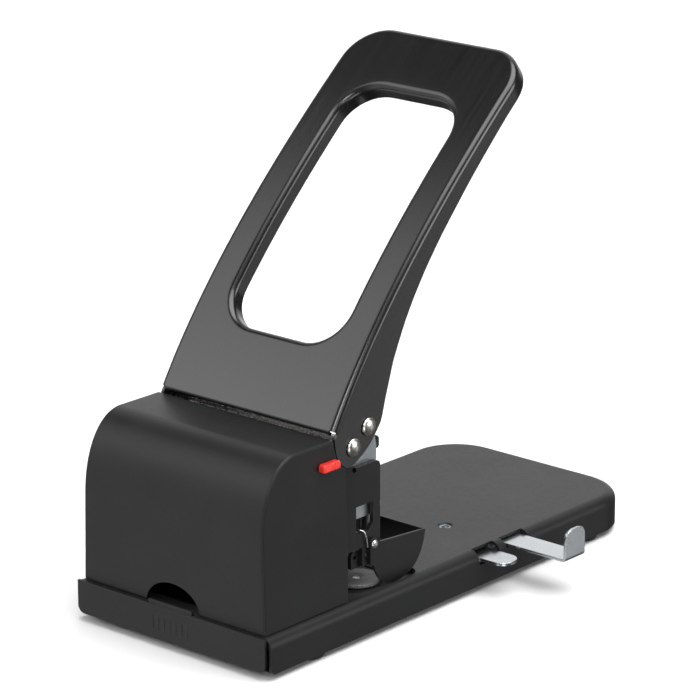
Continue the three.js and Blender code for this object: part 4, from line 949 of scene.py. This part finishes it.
# ------------------------------------------------- paper guide and lock lever
def ruler():
    y0, y1, z0, z1, x0, x1, top = 190.6, 207.2, 18.9, 20.4, -28, 105.5, 36.2
    T, RB = 1.5, 2.2
    # centre band: along X, then a small bend, then up
    path = [(x0, z0)] + [(x1 - RB + RB * math.sin(a), z0 + RB - RB * math.cos(a)) for a in np.linspace(0, math.pi / 2, 8)]
    ups = list(np.linspace(z0 + RB + 1.5, top, 16))
    path += [(x1, z) for z in ups]
    norm = [(0, 1)] + [(-math.sin(a), math.cos(a)) for a in np.linspace(0, math.pi / 2, 8)] + [(-1, 0)] * len(ups)
    hw = (y1 - y0) / 2
    yc = (y0 + y1) / 2
    verts, faces, rows = [], [], []
    for (x, z), (nx, nz) in zip(path, norm):
        e = top - z
        rc = 5.4
        w = hw
        if nx == -1 and e < rc:
            w = hw - rc + math.sqrt(max(rc * rc - (rc - e) ** 2, 0))
        rows.append(len(verts))
        verts += [P(x, yc - w, z), P(x, yc + w, z), P(x + nx * T, yc + w, z + nz * T), P(x + nx * T, yc - w, z + nz * T)]
    for a, b in zip(rows, rows[1:]):
        for j in range(4):
            faces.append((a + j, a + (j + 1) % 4, b + (j + 1) % 4, b + j))
    faces.append(tuple(rows[0] + j for j in range(4))[::-1])
    faces.append(tuple(rows[-1] + j for j in range(4)))
    bm = bm_of(verts, faces)
    bmesh.ops.remove_doubles(bm, verts=bm.verts, dist=1e-7)
    bmesh.ops.recalc_face_normals(bm, faces=bm.faces)
    bevel_sharp(bm, 0.3, 3, 45)
    return put("paper_guide", bm, 40)


ruler()


def lever():
    y0, y1, z0, z1, x0, x1 = 167.5, 182.5, 17.2, 18.8, 38, 83
    r = 6.5
    outline = [(x0, y0)] + arc(x1 - r, y0 + r, r, -90, 0, 10) + arc(x1 - r, y1 - r, r, 0, 90, 10) + [(x0, y1)]
    tongue = prism(outline, z0 + 0.35, z1, "Z", 0.3, 3)
    # turned-down rim round the tip
    rim = [(62, y0)] + arc(x1 - r, y0 + r, r, -90, 0, 10) + arc(x1 - r, y1 - r, r, 0, 90, 10) + [(62, y1)]
    rr = r - 1.1
    rim_in = [(62, y0 + 1.1)] + arc(x1 - r, y0 + r, rr, -90, 0, 10) + arc(x1 - r, y1 - r, rr, 0, 90, 10) + [(62, y1 - 1.1)]
    v, f = [], []
    zt, zb = z1 - 0.45, z0 + 0.02
    n = len(rim)
    for q, z in ((rim, zt), (rim, zb), (rim_in, zb), (rim_in, zt)):
        v += [P(a, b, z) for a, b in q]
    for lvl in range(4):
        for i in range(n - 1):
            a, b = lvl * n + i, ((lvl + 1) % 4) * n + i
            f.append((a, a + 1, b + 1, b))
    f += [(0, n, 2 * n, 3 * n), (n - 1, 2 * n - 1, 3 * n - 1, 4 * n - 1)]
    hub = lathe([(1.6, y0 + 0.2), (2.6, y0 + 0.2), (2.6, y1 - 0.2), (1.6, y1 - 0.2), (1.6, y0 + 0.2)], "Y", (52, 17.2), 28, 0.15)
    return put("guide_lock_lever", [tongue, bm_of(v, f), hub], 36)


lever()
put("lever_pin", lathe([(0, 163.1), (1.25, 163.1), (1.25, 186.9), (0, 186.9)], "Y", (52, 17.2), 24))

# a plated eyelet in the window of the paper bed
adopt(to_mesh(lathe([(2.45, 18.4), (3.1, 18.4), (3.1, 21.9), (2.45, 21.9), (2.45, 18.4)], "Z", (27.5, 186), 32, 0.15), "bed_eyelet"), "bed_eyelet", "guide_channel", 38)

# cut and bent plates: broken edges
for nd, w in (("frame_plate_right", 0.3), ("frame_plate_left", 0.3), ("punch_guide", 0.3), ("crosshead", 0.3), ("chip_chute", 0.15),
              ("guide_channel", 0.2), ("lever_bracket", 0.2), ("latch_slide", 0.25), ("punch_nut_right", 0.4), ("punch_nut_left", 0.4),
              ("crosshead_buffer_right", 0.4), ("crosshead_buffer_left", 0.4)):
    refine(nd, w)


# ------------------------------------------------------------- floor and light
def stage():
    n = Nodes("floor")
    c = n.noise(3, 2)
    col = n.mix(n.ramp(c, 0.3, 0.7), (0.86, 0.86, 0.865), (0.89, 0.89, 0.892))
    mat = n.put(Base_Color=col, Roughness=0.9, Specular_IOR_Level=0.1)
    bm = bmesh.new()
    bmesh.ops.create_circle(bm, cap_ends=True, segments=96, radius=7.0)
    me = bpy.data.meshes.new("floor")
    bm.to_mesh(me)
    bm.free()
    me.materials.append(mat)
    ob = bpy.data.objects.new("floor", me)
    ob.location = (0, 0, -0.0002)
    ob.visible_glossy = False      # dark flags beside the object: the gloss sees the studio, not the floor
    bpy.context.scene.collection.objects.link(ob)


def area(name, loc, target, size, power, color=(1, 1, 1), spread=180):
    l = bpy.data.lights.new(name, "AREA")
    l.shape = "RECTANGLE"
    l.size, l.size_y = size
    l.energy = power
    l.color = color
    l.spread = math.radians(spread)
    ob = bpy.data.objects.new(name, l)
    ob.location = loc
    ob.rotation_mode = "QUATERNION"
    ob.rotation_quaternion = (Vector(target) - Vector(loc)).to_track_quat("-Z", "Y")
    bpy.context.scene.collection.objects.link(ob)
    return ob


def light():
    """A soft studio: a high ceiling panel, dim walls with wide soft panels behind left and front left, a strip by the camera."""
    sc = bpy.context.scene
    w = bpy.data.worlds.new("studio")
    sc.world = w
    w.use_nodes = True
    t = w.node_tree
    t.nodes.clear()
    out = t.nodes.new("ShaderNodeOutputWorld")
    bg = t.nodes.new("ShaderNodeBackground")
    t.links.new(bg.outputs[0], out.inputs[0])
    co = t.nodes.new("ShaderNodeTexCoord").outputs["Generated"]
    total = None
    for x, y, z, inner, outer, level in PANELS:
        d = t.nodes.new("ShaderNodeVectorMath")
        d.operation = "DOT_PRODUCT"
        t.links.new(co, d.inputs[0])
        d.inputs[1].default_value = Vector((x, y, z)).normalized()
        r = t.nodes.new("ShaderNodeMapRange")
        r.interpolation_type = "SMOOTHSTEP"
        r.inputs["From Min"].default_value = math.cos(math.radians(outer))
        r.inputs["From Max"].default_value = math.cos(math.radians(inner))
        r.inputs["To Min"].default_value = 0.0
        r.inputs["To Max"].default_value = level
        t.links.new(d.outputs["Value"], r.inputs["Value"])
        if total is None:
            a = t.nodes.new("ShaderNodeMath")
            a.operation = "ADD"
            a.inputs[1].default_value = AMBIENT
            t.links.new(r.outputs[0], a.inputs[0])
        else:
            a = t.nodes.new("ShaderNodeMath")
            a.operation = "ADD"
            t.links.new(total, a.inputs[0])
            t.links.new(r.outputs[0], a.inputs[1])
        total = a.outputs[0]
    t.links.new(total, bg.inputs["Strength"])
    bg.inputs["Color"].default_value = (1.0, 1.0, 1.0, 1.0)
    area("camera_strip", (1.75, -1.10, 0.95), (0, 0, 0.14), (0.16, 1.1), 4.5)
    sc.view_settings.view_transform = "Standard"
    sc.view_settings.look = "None"


AMBIENT = 0.08
# direction of each panel's centre, inner and outer half angle, brightness
PANELS = [
    (0.25, 0.10, 0.96, 24, 36, 4.3),
    (-0.62, 0.72, 0.30, 20, 46, 0.92),
    (-0.61, -0.53, 0.56, 9, 27, 1.75),
    (-0.60, -0.75, -0.28, 35, 60, 0.76),
    (0.62, 0.72, -0.29, 4, 16, 0.50),
    (0.86, 0.46, 0.20, 9, 19, 4.5),
    (0.42, -0.70, 0.58, 5, 12, 9.0),
    (0.74, -0.60, -0.24, 8, 20, 2.4),
]
stage()
light()
